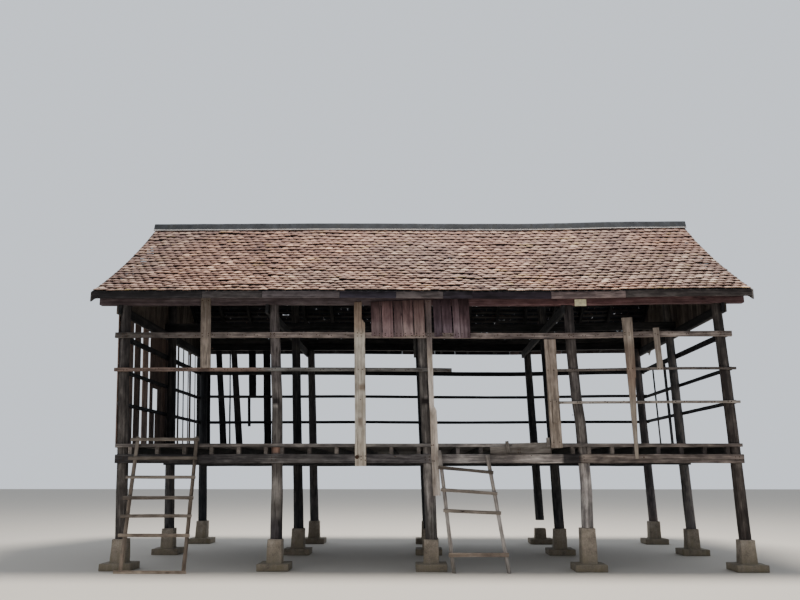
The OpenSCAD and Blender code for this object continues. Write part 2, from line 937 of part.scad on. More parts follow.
// Distances from the heads of the ladders' poles down to their top rungs
left_head_room = 40;
right_head_room = 243;

// The left ladder stands with its lowest rung on the ground
left_ladder_x = line_x(0) + left_ladder_place;
left_ladder_head = floor_z + edge_h + ladder_head;
left_poles = [for (s = [-1, 1])
                let (x = left_ladder_x + s * left_ladder_w / 2)
                  [x, x, left_ladder_head, -front_face, floor_z + edge_h, left_ladder_out]];
left_rung_foot = rung_h / 2;
left_rung_head = left_ladder_head - left_head_room;
// Shares of the climb at which the rungs are nailed: one is missing above the lowest
left_heights = [for (k = [0, 0.266, 0.409, 0.545, 0.704, 0.852, 1])
                  let (z = left_rung_foot + k * (left_rung_head - left_rung_foot)) [z, z]];

// The right ladder has been pushed askew: its left pole leans on the long board, and its
// right pole, which is sunken, on the floor beam
right_ladder_x = line_x(2) + right_ladder_place;
right_ladder_head = joist_z + 52;
right_pole_sunk = 68;
right_head_x = right_ladder_x - right_ladder_skew;
right_poles = [[right_ladder_x, right_head_x, right_ladder_head, -front_face - board_t,
                right_ladder_head, right_ladder_out],
               [right_ladder_x + right_ladder_w,
                right_head_x + right_ladder_w - right_ladder_narrowing,
                right_ladder_head - right_pole_sunk, -front_face,
                right_ladder_head - right_pole_sunk, right_ladder_out]];
right_rung_head = right_ladder_head - right_head_room;
right_heights = [for (k = [0, 0.5, 0.74, 1])
                   let (z = right_rung_foot + k * (right_rung_head - right_rung_foot))
                     [z, z - k * right_pole_sunk]];

module left_ladder_rungs() {
  color(wood_grey)
    ladder_rungs(left_poles[0], left_poles[1], left_heights, [60, 15]);
}

module left_ladder_poles() {
  color(wood_grey)
    ladder_poles(left_poles[0], left_poles[1])
      left_ladder_rungs();
}

module right_ladder_rungs() {
  color(wood_grey)
    ladder_rungs(right_poles[0], right_poles[1], right_heights, [22, 15]);
}

module right_ladder_poles() {
  color(wood_grey)
    ladder_poles(right_poles[0], right_poles[1])
      right_ladder_rungs();
}

front_plinths();
middle_plinths();
back_plinths();
front_posts();
middle_posts();
back_posts();
cut_back_post();
front_floor_beam();
middle_floor_beam();
back_floor_beam();
floor_joists();
front_floor();
back_floor();
floor_edge_bars();
front_upper_girt();
front_middle_girt();
front_lower_girt();
back_girts();
end_wall_girts();
front_wall_plate();
middle_plate();
back_wall_plate();
tie_beams();
pole_plates();
ridge_beam();
front_rafters();
back_rafters();
front_battens();
back_battens();
front_tiles();
back_tiles();
ridge_cap();
eave_fascias();
bargeboards();
front_studs();
front_upper_boards();
back_wall_boards();
left_wall_boards();
gable_boards();
right_wall_stud();
beam_patch_board();
left_ladder_poles();
left_ladder_rungs();
right_ladder_poles();
right_ladder_rungs();
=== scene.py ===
import functools
import json
import math
import random
import bmesh
import bpy
import numpy as np
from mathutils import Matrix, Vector, noise


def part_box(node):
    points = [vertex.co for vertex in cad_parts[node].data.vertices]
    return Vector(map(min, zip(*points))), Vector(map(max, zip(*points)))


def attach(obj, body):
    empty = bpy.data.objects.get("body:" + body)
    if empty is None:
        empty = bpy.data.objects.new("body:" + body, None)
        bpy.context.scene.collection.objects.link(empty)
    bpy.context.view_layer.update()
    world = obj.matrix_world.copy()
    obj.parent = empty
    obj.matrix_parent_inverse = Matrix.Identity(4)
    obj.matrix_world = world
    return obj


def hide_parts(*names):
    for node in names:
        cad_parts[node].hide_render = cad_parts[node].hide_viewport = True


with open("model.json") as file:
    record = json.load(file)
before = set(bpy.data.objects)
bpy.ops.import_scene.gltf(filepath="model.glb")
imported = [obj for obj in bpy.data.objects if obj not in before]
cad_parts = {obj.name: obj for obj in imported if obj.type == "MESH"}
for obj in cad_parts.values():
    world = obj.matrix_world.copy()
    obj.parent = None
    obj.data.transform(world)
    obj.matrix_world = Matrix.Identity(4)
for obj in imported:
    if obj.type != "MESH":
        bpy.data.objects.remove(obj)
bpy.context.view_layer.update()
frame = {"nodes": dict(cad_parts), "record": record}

parts = frame["nodes"]
noise.seed_set(12)  # otherwise noise_vector starts from the clock
print("house frame loaded:", len(parts), "parts")


def addObject(name, data):
    made = bpy.data.objects.new(name, data)
    bpy.context.scene.collection.objects.link(made)
    return made


# The camera stands in the yard, a little left of the middle, and looks up at the eaves
camera = {"place": (-0.215, -14.648, 1.355), "pitch": 11.97, "yaw": 1.09, "lens": 36.83, "sensor": 36}

cameraData = bpy.data.cameras.new("yardCamera")
cameraData.sensor_width = camera["sensor"]
cameraData.lens = camera["lens"]
cameraObject = addObject("yardCamera", cameraData)
cameraObject.location = camera["place"]
cameraObject.rotation_euler = (math.radians(90 + camera["pitch"]), 0, math.radians(camera["yaw"]))
bpy.context.scene.camera = cameraObject

# Metres, as in the frame: x along the ridge, y to the back, z up
house = {
    "bay": 2.25, "frontAisle": 2.37, "backAisle": 2.27, "lean": 2.4, "leanFrom": 0.43,
    "frontFace": -2.4707, "floorZ": 1.736, "plateTop": 4.02, "postMiddle": 2.1,
}


def lineX(i):
    return (i - 2) * house["bay"]


def leanX(z):
    return -math.tan(math.radians(house["lean"])) * (z - house["leanFrom"])


def nearestLine(x, z):
    return min(range(5), key=lambda i: abs(lineX(i) + leanX(z) - x))


# Shader and geometry trees are both made with these
def addNode(tree, kind, inputs=None, **settings):
    made = tree.nodes.new(kind)
    for key, value in settings.items():
        setattr(made, key, value)
    for key, value in (inputs or {}).items():
        if isinstance(value, bpy.types.NodeSocket):
            tree.links.new(value, made.inputs[key])
        else:
            made.inputs[key].default_value = value
    return made


# The first output of a new node
def output(tree, kind, inputs=None, **settings):
    return addNode(tree, kind, inputs, **settings).outputs[0]


def sums(tree, operation, *values):
    return output(tree, "ShaderNodeMath", dict(enumerate(values)), operation=operation)


# Functions that add, subtract and so on, each for two or more values in a tree
def chains(tree, *operations):
    def chained(operation):
        return lambda *values: functools.reduce(lambda a, b: sums(tree, operation, a, b), values)
    return [chained(operation) for operation in operations]


def attribute(tree, name, socket="Fac"):
    return addNode(tree, "ShaderNodeAttribute", attribute_name=name).outputs[socket]


def placeIn(tree, socket="Object"):
    return addNode(tree, "ShaderNodeTexCoord").outputs[socket]


def ramp(tree, factor, stops):
    made = addNode(tree, "ShaderNodeValToRGB", {"Fac": factor})
    band = made.color_ramp
    while len(band.elements) < len(stops):
        band.elements.new(0.5)
    for element, (place, colour) in zip(band.elements, stops):
        element.position = place
        element.color = (*colour, 1)
    return made.outputs["Color"]


def between(tree, value, low, high, outLow=0.0, outHigh=1.0):
    return output(tree, "ShaderNodeMapRange", {
        "Value": value, "From Min": low, "From Max": high, "To Min": outLow, "To Max": outHigh})


def blendColours(tree, factor, first, second, mode="MIX"):
    first, second = ((*colour, 1) if isinstance(colour, tuple) else colour for colour in (first, second))
    return addNode(tree, "ShaderNodeMix", {0: factor, 6: first, 7: second}, data_type="RGBA",
                   blend_type=mode).outputs[2]


def stretched(tree, source, scale):
    return output(tree, "ShaderNodeVectorMath", {0: source, 1: scale}, operation="MULTIPLY")


def noiseAt(tree, vector, scale, detail=4.0, rough=0.55):
    return output(tree, "ShaderNodeTexNoise", {
        "Vector": vector, "Scale": scale, "Detail": detail, "Roughness": rough})


def startMaterial(name, rough):
    made = bpy.data.materials.new(name)
    made.use_nodes = True
    shader = made.node_tree.nodes["Principled BSDF"]
    shader.inputs["Roughness"].default_value = rough
    shader.inputs["Specular IOR Level"].default_value = 0.25
    return made, made.node_tree, shader


def finishMaterial(tree, shader, colour, height, strength, distance):
    bump = addNode(tree, "ShaderNodeBump", {"Height": height, "Strength": strength, "Distance": distance})
    tree.links.new(colour, shader.inputs["Base Color"])
    tree.links.new(bump.outputs["Normal"], shader.inputs["Normal"])


# Weathered timber: colours of the cracks, of the dark, middle and bleached grain, and of
# patches, all darker than the timber is, partly as painted shade; a piece's own tint is multiplied in
woods = {
    "greyTimber": ((0.013, 0.012, 0.012), (0.040, 0.036, 0.036), (0.112, 0.102, 0.098), (0.30, 0.28, 0.265),
        (0.070, 0.058, 0.053)),
    "brownTimber": ((0.012, 0.010, 0.009), (0.042, 0.036, 0.032), (0.085, 0.072, 0.064),
        (0.165, 0.142, 0.126), (0.06, 0.045, 0.038)),
    # Near black and bluish: painted shade of the rooms and loft, for the timbers inside and behind
    "shadeDarkTimber": ((0.004, 0.004, 0.005), (0.008, 0.009, 0.011), (0.020, 0.021, 0.024),
        (0.055, 0.053, 0.054), (0.027, 0.025, 0.025)),
    "redTimber": ((0.010, 0.006, 0.007), (0.036, 0.021, 0.022), (0.078, 0.048, 0.048), (0.15, 0.102, 0.097),
        (0.052, 0.031, 0.032)),
    "paleBoard": ((0.040, 0.032, 0.028), (0.13, 0.106, 0.089), (0.28, 0.235, 0.202), (0.44, 0.385, 0.335),
        (0.18, 0.142, 0.115)),
    "ladderTimber": ((0.020, 0.016, 0.014), (0.07, 0.058, 0.05), (0.15, 0.128, 0.11), (0.28, 0.245, 0.215),
        (0.11, 0.09, 0.07)),
}


def makeWood(name, cracked, dark, mid, pale, patch):
    made, tree, shader = startMaterial(name, 0.86)
    plus, minus, times = chains(tree, "ADD", "SUBTRACT", "MULTIPLY")
    grain = attribute(tree, "grain", "Vector")

    def grained(stretch, detail=4.0, rough=0.55):
        return noiseAt(tree, stretched(tree, grain, stretch), 1.0, detail, rough)

    fibre, band = grained((1.6, 60, 60), 5, 0.65), grained((0.55, 11, 11))
    streak, blot = grained((0.5, 27, 27), 2, 0.4), grained((5, 14, 14), 3, 0.6)
    weather = noiseAt(tree, placeIn(tree), 1.4, 5, 0.6)
    crack = between(tree, sums(tree, "ABSOLUTE", minus(streak, 0.5)), 0.0, 0.011, 1.0, 0.0)
    crack = times(crack, between(tree, band, 0.45, 0.62))
    cells = addNode(tree, "ShaderNodeTexVoronoi", {
        "Vector": stretched(tree, grain, (2.4, 6.5, 6.5)), "Scale": 1.0})
    luck = addNode(tree, "ShaderNodeSeparateColor", {"Color": cells.outputs["Color"]}).outputs["Red"]
    knot = times(between(tree, cells.outputs["Distance"], 0.05, 0.17, 1.0, 0.0),
                 between(tree, luck, 0.62, 0.66))
    mixed = plus(times(fibre, 0.55), times(band, 0.45),
                 between(tree, attribute(tree, "tone"), 0.0, 1.0, -0.13, 0.13),
                 between(tree, weather, 0.3, 0.7, -0.07, 0.07), between(tree, blot, 0.3, 0.7, -0.10, 0.10))
    colour = ramp(tree, mixed, [(0.33, dark), (0.5, mid), (0.68, pale)])
    colour = blendColours(tree, between(tree, weather, 0.56, 0.72, 0.0, 0.7), colour, patch)
    colour = blendColours(tree, times(knot, 0.75), colour, cracked)
    colour = blendColours(tree, crack, colour, cracked)
    colour = blendColours(tree, 1.0, colour, attribute(tree, "tint", "Vector"), "MULTIPLY")
    finishMaterial(tree, shader, colour, minus(fibre, times(crack, 1.4)), 0.7, 0.004)
    return made


materials = {name: makeWood(name, *colours) for name, colours in woods.items()}

# Faded clay: tones of single tiles, the paler edge, worn and with a painted highlight, lichen, and painted
# shade below each course and under the tiles
tileLook = {
    "tones": [(0.0, (0.10, 0.068, 0.061)), (0.12, (0.155, 0.106, 0.087)), (0.5, (0.262, 0.184, 0.149)),
              (0.84, (0.44, 0.328, 0.268)), (1.0, (0.72, 0.58, 0.47))],
    "byHeight": [(0.0, (0.97, 0.98, 1.0)), (0.12, (0.93, 0.93, 0.94)), (0.3, (0.75, 0.74, 0.735)),
                 (0.65, (0.63, 0.62, 0.61)), (1.0, (0.60, 0.59, 0.58))],
    "edge": (0.98, 0.81, 0.69), "lichen": (0.44, 0.37, 0.10), "courseShade": (0.075, 0.046, 0.046),
    "under": (0.012, 0.016, 0.026), "warm": (1.10, 0.93, 0.84), "bleach": (1.5, 1.48, 1.45)}


def makeTileClay():
    made, tree, shader = startMaterial("fadedClay", 0.9)
    plus, times = chains(tree, "ADD", "MULTIPLY")
    place, down = placeIn(tree), attribute(tree, "down")
    grit, cloud = noiseAt(tree, place, 130, 4, 0.7), noiseAt(tree, place, 9, 5, 0.6)
    broad = noiseAt(tree, place, 0.8, 4, 0.6)
    shade = plus(attribute(tree, "tone"), between(tree, cloud, 0.3, 0.7, -0.16, 0.16),
                 between(tree, broad, 0.35, 0.65, -0.1, 0.1))
    colour = ramp(tree, shade, tileLook["tones"])
    # The lower edge is paler: worn, and with a painted highlight
    edge = times(between(tree, down, 0.235, 0.117), between(tree, cloud, 0.38, 0.6, 0.2, 1.0))
    colour = blendColours(tree, edge, colour, tileLook["edge"])
    lichen = times(between(tree, noiseAt(tree, place, 2.6, 6, 0.7), 0.56, 0.68),
                   between(tree, cloud, 0.42, 0.58))
    colour = blendColours(tree, times(lichen, 0.6), colour, tileLook["lichen"])
    height = addNode(tree, "ShaderNodeSeparateXYZ", {"Vector": place}).outputs["Z"]
    faded = ramp(tree, between(tree, height, 3.95, 5.75), tileLook["byHeight"])
    colour = stretched(tree, blendColours(tree, 1.0, colour, faded, "MULTIPLY"), tileLook["bleach"])
    warm = between(tree, noiseAt(tree, place, 0.55, 2), 0.4, 0.6)
    colour = blendColours(tree, warm, colour, blendColours(tree, 1.0, colour, tileLook["warm"], "MULTIPLY"))
    # Painted shade on the upper part of each tile's face, below the edge of the next course
    colour = blendColours(tree, between(tree, down, 0.43, 0.67, 0.0, 0.85), colour, tileLook["courseShade"])
    # The underside of the tiles is near black and bluish: painted shade of the loft
    colour = blendColours(tree, attribute(tree, "under"), colour, tileLook["under"])
    finishMaterial(tree, shader, colour, plus(grit, cloud), 0.5, 0.003)
    return made


def makeCement(name, dark, pale, stain, stainFrom, stainTo):
    made, tree, shader = startMaterial(name, 0.92)
    plus, minus, times = chains(tree, "ADD", "SUBTRACT", "MULTIPLY")
    place = placeIn(tree)
    height = addNode(tree, "ShaderNodeSeparateXYZ", {"Vector": place}).outputs["Z"]
    grit, cloud = noiseAt(tree, place, 90, 4, 0.7), noiseAt(tree, place, 7, 6, 0.65)
    drip = noiseAt(tree, stretched(tree, place, (16, 16, 1.3)), 1.0, 4, 0.6)
    pits = addNode(tree, "ShaderNodeTexVoronoi", {"Vector": place, "Scale": 70.0}).outputs["Distance"]
    pits = between(tree, pits, 0.02, 0.16, 1.0, 0.0)
    mixed = plus(times(cloud, 0.6), times(grit, 0.4))
    colour = ramp(tree, mixed, [(0.36, dark), (0.62, pale)])
    reach = plus(height, between(tree, drip, 0.3, 0.7, -0.16, 0.16))
    stained = times(between(tree, reach, stainFrom, stainTo, 0.85, 0.1),
                    between(tree, cloud, 0.38, 0.6, 0.35, 1.0))
    colour = blendColours(tree, stained, colour, stain)
    colour = blendColours(tree, times(pits, 0.5), colour, dark)
    finishMaterial(tree, shader, colour, minus(mixed, times(pits, 0.4)), 0.7, 0.006)
    return made


def makeIron():
    made, tree, shader = startMaterial("rustyIron", 0.75)
    rust = noiseAt(tree, placeIn(tree), 160, 4, 0.7)
    colour = ramp(tree, rust, [(0.3, (0.02, 0.014, 0.012)), (0.7, (0.09, 0.045, 0.025))])
    finishMaterial(tree, shader, colour, rust, 0.5, 0.001)
    return made


# Cements: name, dark and pale tone, stain, and the heights between which the stain fades
cements = {
    "plinth": ("plinthConcrete", (0.14, 0.115, 0.092), (0.46, 0.40, 0.335), (0.17, 0.142, 0.082), -0.05, 0.38),
    "ridge": ("ridgeCement", (0.010, 0.012, 0.016), (0.042, 0.048, 0.058), (0.020, 0.022, 0.022), 5.75, 5.9),
    "mortar": ("paleMortar", (0.42, 0.42, 0.42), (0.9, 0.9, 0.88), (0.3, 0.3, 0.28), 5.5, 5.7),
}
materials.update({key: makeCement(*look) for key, look in cements.items()})
materials.update({"clay": makeTileClay(), "iron": makeIron()})
print("materials made:", len(materials))


def looseParts(shape):
    seen = set()
    found = []
    for start in shape.verts:
        if start.index in seen:
            continue
        seen.add(start.index)
        part, edgeOf = [], [start]
        while edgeOf:
            corner = edgeOf.pop()
            part.append(corner)
            for edge in corner.link_edges:
                other = edge.other_vert(corner)
                if other.index not in seen:
                    seen.add(other.index)
                    edgeOf.append(other)
        found.append(part)
    return found


def ownAxes(part):
    points = np.array([corner.co for corner in part])
    middle = points.mean(axis=0)
    axes = np.linalg.eigh(np.cov((points - middle).T))[1][:, ::-1].T
    if axes[0][np.argmax(np.abs(axes[0]))] < 0:
        axes[0] = -axes[0]
    return Vector(middle), [Vector(axis) for axis in axes]


# How the noise runs along an aged piece, in waves a metre, and its share across the thin side
aged = {"shift": 40, "bowWave": 0.55, "waneWave": 2.3, "faceWave": 6, "thinBow": 0.5, "thinWane": 0.4,
        "edgeRow": 3, "faceRow": 7}


# Ages each loose part of a timber shape: it bows and wanes a little along its length, and
# gets its own grain direction, tone and tint
def ageTimber(shape, seed, bow, wane, tinted):
    shape.verts.index_update()
    grain = shape.verts.layers.float_vector.new("grain")
    tint = shape.verts.layers.float_vector.new("tint")
    tone = shape.verts.layers.float.new("tone")
    luck = random.Random(seed)
    for part in looseParts(shape):
        middle, (along, wide, thin) = ownAxes(part)
        shift = Vector([luck.uniform(0, aged["shift"]) for axis in range(3)])
        value = luck.random()
        for corner in part:
            corner[tint] = tinted(middle, corner.co) if tinted else bare
            offset = corner.co - middle
            s, w, t = offset.dot(along), offset.dot(wide), offset.dot(thin)
            corner[grain] = Vector((s, w, t)) + shift
            corner[tone] = value
            edgeSide, faceSide = math.copysign(1, w), math.copysign(1, t)
            far = s * aged["waneWave"]
            swing = noise.noise_vector(Vector((s * aged["bowWave"], 0, 0)) + shift)
            edge = noise.noise(Vector((far, aged["edgeRow"] * edgeSide, 0)) + shift)
            face = noise.noise(Vector((far, w * aged["faceWave"], aged["faceRow"] * faceSide)) + shift)
            corner.co += wide * (swing.x * bow + edge * wane * edgeSide)
            corner.co += thin * (swing.y * bow * aged["thinBow"] + face * wane * aged["thinWane"])


def crossCut(shape, axis, step):
    values = [corner.co[axis] for corner in shape.verts]
    normal = Vector((0, 0, 0))
    normal[axis] = 1
    place = min(values) + step * 0.5
    while place < max(values):
        bmesh.ops.bisect_plane(shape, geom=shape.verts[:] + shape.edges[:] + shape.faces[:],
                               plane_co=normal * place, plane_no=normal, dist=1e-5)
        place += step


def softenEdges(shape, width, angle=28, segments=1):
    sharp = [edge for edge in shape.edges
             if len(edge.link_faces) == 2 and edge.calc_face_angle(0) > math.radians(angle)]
    bmesh.ops.bevel(shape, geom=sharp, offset=width, segments=segments, profile=0.6, affect="EDGES",
                    clamp_overlap=True)


def finishPiece(name, shape, *finish):
    mesh = bpy.data.meshes.new(name)
    shape.to_mesh(mesh)
    shape.free()
    finishMesh(name, mesh, *finish)


# The house has sunk a little right of its middle, all of it above the floor alike
sunk = {"depth": 0.03, "from": -2.2, "deepest": 1.7, "to": 4.0, "floor": 1.9, "whole": 3.2}


# From 0 at low to 1 at high, for one value or many
def smooth(value, low, high):
    share = np.clip((value - low) / (high - low), 0, 1)
    return share * share * (3 - 2 * share)


def settle(mesh):
    count = len(mesh.vertices)
    co = np.empty(count * 3)
    mesh.vertices.foreach_get("co", co)
    co = co.reshape(count, 3)
    x, z = co[:, 0], co[:, 2]
    across = np.where(x < sunk["deepest"], smooth(x, sunk["from"], sunk["deepest"]),
                      1 - smooth(x, sunk["deepest"], sunk["to"]))
    co[:, 2] = z - sunk["depth"] * across * smooth(z, sunk["floor"], sunk["whole"])
    mesh.vertices.foreach_set("co", co.ravel())
    mesh.update()


def finishMesh(name, mesh, material, slotName, stoodFor=(), smoothAngle=None):
    settle(mesh)
    mesh.materials.clear()
    mesh.materials.append(material)
    if smoothAngle:
        mesh.shade_smooth()
        mesh.set_sharp_from_angle(angle=math.radians(smoothAngle))
    piece = addObject(name, mesh)
    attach(piece, "root")
    if stoodFor:
        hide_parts(*stoodFor)


# A part's mesh without the cuts across its flat faces
def copyOfPart(partName, weld=2e-5, flat=1.2):
    shape = bmesh.new()
    shape.from_mesh(parts[partName].data)
    bmesh.ops.remove_doubles(shape, verts=shape.verts, dist=weld)
    bmesh.ops.dissolve_limit(shape, angle_limit=math.radians(flat), verts=shape.verts, edges=shape.edges)
    return shape


# Hewn and sawn pieces: parts, wood, axis along which they are cut into lengths, arris, bow
# and wane in metres
hewn = {
    "front_posts": ("greyTimber", 2, 0.004, 0.006, 0.006),
    "middle_posts back_posts cut_back_post": ("shadeDarkTimber", 2, 0.004, 0.008, 0.006),
    "front_floor_beam": ("greyTimber", 0, 0.006, 0.004, 0.005),
    "middle_floor_beam back_floor_beam": ("shadeDarkTimber", 0, 0.006, 0.004, 0.005),
    "floor_joists": ("brownTimber", 1, 0.004, 0.004, 0.003),
    "front_floor back_floor": ("brownTimber", 0, 0.003, 0.001, 0.001),
    "floor_edge_bars": ("greyTimber", 0, 0.003, 0.003, 0.002),
    "front_upper_girt": ("greyTimber", 0, 0.004, 0.005, 0.004),
    "front_middle_girt": ("greyTimber", 0, 0.004, 0.006, 0.003),
    "front_lower_girt": ("greyTimber", 0, 0.004, 0.005, 0.003),
    "back_girts": ("shadeDarkTimber", 0, 0.004, 0.006, 0.003),
    "end_wall_girts": ("shadeDarkTimber", 1, 0.004, 0.004, 0.003),
    "front_wall_plate": ("redTimber", 0, 0.005, 0.003, 0.003),
    "middle_plate back_wall_plate": ("shadeDarkTimber", 0, 0.005, 0.003, 0.003),
    "tie_beams": ("shadeDarkTimber", 1, 0.005, 0.004, 0.004),
    "pole_plates": ("shadeDarkTimber", 0, 0.004, 0.002, 0.002),
    "ridge_beam": ("shadeDarkTimber", 0, 0.005, 0.002, 0.002),
    "front_rafters back_rafters": ("shadeDarkTimber", 1, 0.003, 0.002, 0.002),
    "front_battens back_battens": ("shadeDarkTimber", 0, 0.002, 0.002, 0.001),
    "bargeboards": ("greyTimber", 1, 0.003, 0.002, 0.002),
    "front_studs": ("paleBoard", 2, 0.002, 0.003, 0.003),
    "front_upper_boards": ("redTimber", 2, 0.002, 0.003, 0.004),
    "back_wall_boards": ("shadeDarkTimber", 2, 0.002, 0.008, 0.007),
    "left_wall_boards": ("brownTimber", 2, 0.002, 0.006, 0.004),
    "gable_boards": ("brownTimber", 2, 0.002, 0.002, 0.001),
    "right_wall_stud": ("shadeDarkTimber", 2, 0.002, 0.004, 0.002),
    "beam_patch_board": ("paleBoard", 0, 0.002, 0.002, 0.003),
    "left_ladder_poles": ("ladderTimber", 2, 0.004, 0.010, 0.004),
    "left_ladder_rungs": ("ladderTimber", 0, 0.004, 0.004, 0.004),
    "right_ladder_poles": ("ladderTimber", 2, 0.004, 0.008, 0.004),
    "right_ladder_rungs": ("ladderTimber", 0, 0.004, 0.004, 0.004),
}
slotOf = {piece["node"]: piece["material_slot"] for piece in frame["record"]["subparts"]}
bare = (1, 1, 1)  # no tint


def alongTable(table, place):
    for (start, *before), (end, *after) in zip(table, table[1:]):
        if place < end or end == table[-1][0]:
            share = smooth(place, start, end)
            return tuple(b + (c - b) * share for b, c in zip(before, after))


# Patches of another colour on a piece: middle and half size in x and z, then the tint,
# which is whole in the core and ends at the rim
def patched(base, spots, co, core=0.8, rim=1.25):
    for x, z, wide, high, *tint in spots:
        reach = max(abs(co.x - x) / wide, abs(co.z - z) / high)
        share = 1 - smooth(reach, core, rim)
        base = tuple(a + (b - a) * share for a, b in zip(base, tint))
    return base


# Tints by height of the front posts, from the left, darker at the top with painted shade of the eaves; then
# old mortises, dark spots of painted shade, and other patches
postTints = [
    [(0.4, 0.80, 0.78, 0.76), (1.6, 0.84, 0.82, 0.80), (2.6, 0.70, 0.68, 0.68), (3.9, 0.5, 0.5, 0.53)],
    [(0.4, 0.26, 0.25, 0.28), (0.6, 0.26, 0.25, 0.28), (0.83, 0.58, 0.57, 0.57), (1.12, 1.3, 1.3, 1.3),
     (1.4, 0.48, 0.46, 0.46), (1.7, 0.66, 0.64, 0.64), (2.0, 0.52, 0.51, 0.51), (2.27, 0.5, 0.49, 0.49),
     (2.6, 0.66, 0.64, 0.65), (2.9, 0.48, 0.45, 0.48), (3.2, 0.66, 0.62, 0.64), (3.9, 0.42, 0.39, 0.42)],
    [(0.4, 0.64, 0.65, 0.66), (0.6, 0.62, 0.63, 0.64), (0.76, 0.9, 0.92, 0.93), (0.98, 1.7, 1.7, 1.72),
     (1.45, 1.3, 1.3, 1.3), (1.8, 0.9, 0.89, 0.88), (3.0, 0.8, 0.79, 0.79), (3.9, 0.5, 0.47, 0.5)],
    [(0.5, 2.3, 2.32, 2.35), (0.9, 2.6, 2.65, 2.7), (1.25, 4.2, 4.25, 4.3), (1.45, 3.0, 3.0, 3.0),
     (1.7, 1.1, 1.07, 1.05), (2.4, 0.98, 0.96, 0.95), (2.72, 1.45, 1.42, 1.44), (3.15, 0.75, 0.72, 0.72),
     (3.9, 0.38, 0.36, 0.4)],
    [(0.4, 0.66, 0.60, 0.57), (2.0, 0.75, 0.70, 0.68), (3.9, 0.6, 0.58, 0.57)],
]
postSpots = [(-2.34, 2.41, 0.050, 0.040, 0.15, 0.13, 0.14), (-0.09, 2.41, 0.050, 0.040, 0.15, 0.13, 0.14),
             (-2.31, 1.70, 0.12, 0.05, 1.0, 0.66, 0.55), (-2.35, 2.345, 0.03, 0.012, 1.9, 1.9, 1.9),
             (-0.07, 2.47, 0.035, 0.012, 1.6, 1.6, 1.6)]


def postTint(middle, co):
    line = nearestLine(middle.x, house["postMiddle"])
    return patched(alongTable(postTints[line], co.z), postSpots, co)


# Boards on the front from the left: place up to which they stand, and tints by height, several darker at the
# top with painted shade of the eaves
studTints = [
    (-2.4, [(2.8, 1.5, 1.52, 1.52), (3.4, 1.2, 1.2, 1.2), (4.0, 0.8, 0.8, 0.8)]),
    (-0.5, [(1.5, 1.45, 1.5, 1.46), (2.2, 1.5, 1.6, 1.6), (3.3, 1.6, 1.72, 1.74), (3.55, 0.95, 0.85, 0.77),
         (4.0, 0.55, 0.47, 0.42)]),
    (0.6, [(1.0, 1.7, 1.76, 1.85), (1.3, 1.75, 1.85, 1.95), (1.55, 1.4, 1.45, 1.5), (1.8, 1.9, 1.96, 2.0),
         (2.2, 1.95, 2.02, 2.06), (2.4, 2.4, 2.55, 2.7), (2.72, 2.45, 2.6, 2.75), (3.02, 1.55, 1.58, 1.58),
         (3.3, 0.64, 0.62, 0.68), (3.6, 0.3, 0.28, 0.33), (3.9, 0.55, 0.48, 0.55)]),
    (2.4, [(1.7, 1.35, 1.35, 1.34), (2.2, 1.5, 1.5, 1.48), (3.4, 1.45, 1.42, 1.42)]),
    (3.15, [(1.5, 1.1, 1.12, 1.1), (2.3, 0.95, 0.95, 0.93), (2.75, 0.78, 0.66, 0.60),
         (3.2, 0.70, 0.64, 0.60), (3.35, 1.25, 1.25, 1.22), (3.7, 0.7, 0.69, 0.68)]),
    (9.0, [(2.8, 0.95, 0.95, 0.95), (3.5, 0.8, 0.8, 0.8)]),
]
# Spots on the boards: a knothole, dark with painted shade; two darker patches and a paler strip
studSpots = [(-1.047, 1.584, 0.022, 0.022, 0.1, 0.09, 0.08), (-1.03, 2.1, 0.03, 0.05, 0.75, 0.72, 0.68),
             (-1.01, 2.62, 0.05, 0.04, 0.8, 0.76, 0.7), (2.13, 3.05, 0.03, 0.16, 2.4, 2.5, 2.6)]


def studTint(middle, co):
    if 1.7 < middle.x < 1.95 and 2.1 < middle.z < 2.42:
        return (2.3, 2.35, 2.4)
    table = next(table for limit, table in studTints if middle.x < limit)
    return patched(alongTable(table, co.z), studSpots, co)


# The panel is darker and reddish above, with painted shade of the eaves, and paler below; then the
# tints of its single boards, the sixth darker and cooler, and a bleached spot
panel = {
    "byHeight": [
        (3.3, 3.3, 3.9, 3.9), (3.5, 3.0, 3.5, 3.55), (3.68, 1.9, 1.95, 2.0), (4.0, 0.95, 0.92, 0.98)
    ],
    "boards": [
        (-0.8, 1, 1, 1), (-0.65, 1.5, 1.45, 1.45), (-0.52, 1, 1, 1), (-0.28, 1, 0.96, 0.95),
        (-0.16, 0.7, 0.66, 0.64), (0.05, 0.55, 0.6, 0.72), (0.2, 0.62, 0.62, 0.74), (0.5, 0.62, 0.6, 0.68),
        (0.6, 0.8, 0.76, 0.8)
    ],
    "spots": [(-0.615, 3.48, 0.035, 0.06, 5.0, 6.0, 6.4)],
}


def panelTint(middle, co):
    base = zip(alongTable(panel["byHeight"], co.z), alongTable(panel["boards"], middle.x))
    return patched(tuple(a * b for a, b in base), panel["spots"], co)


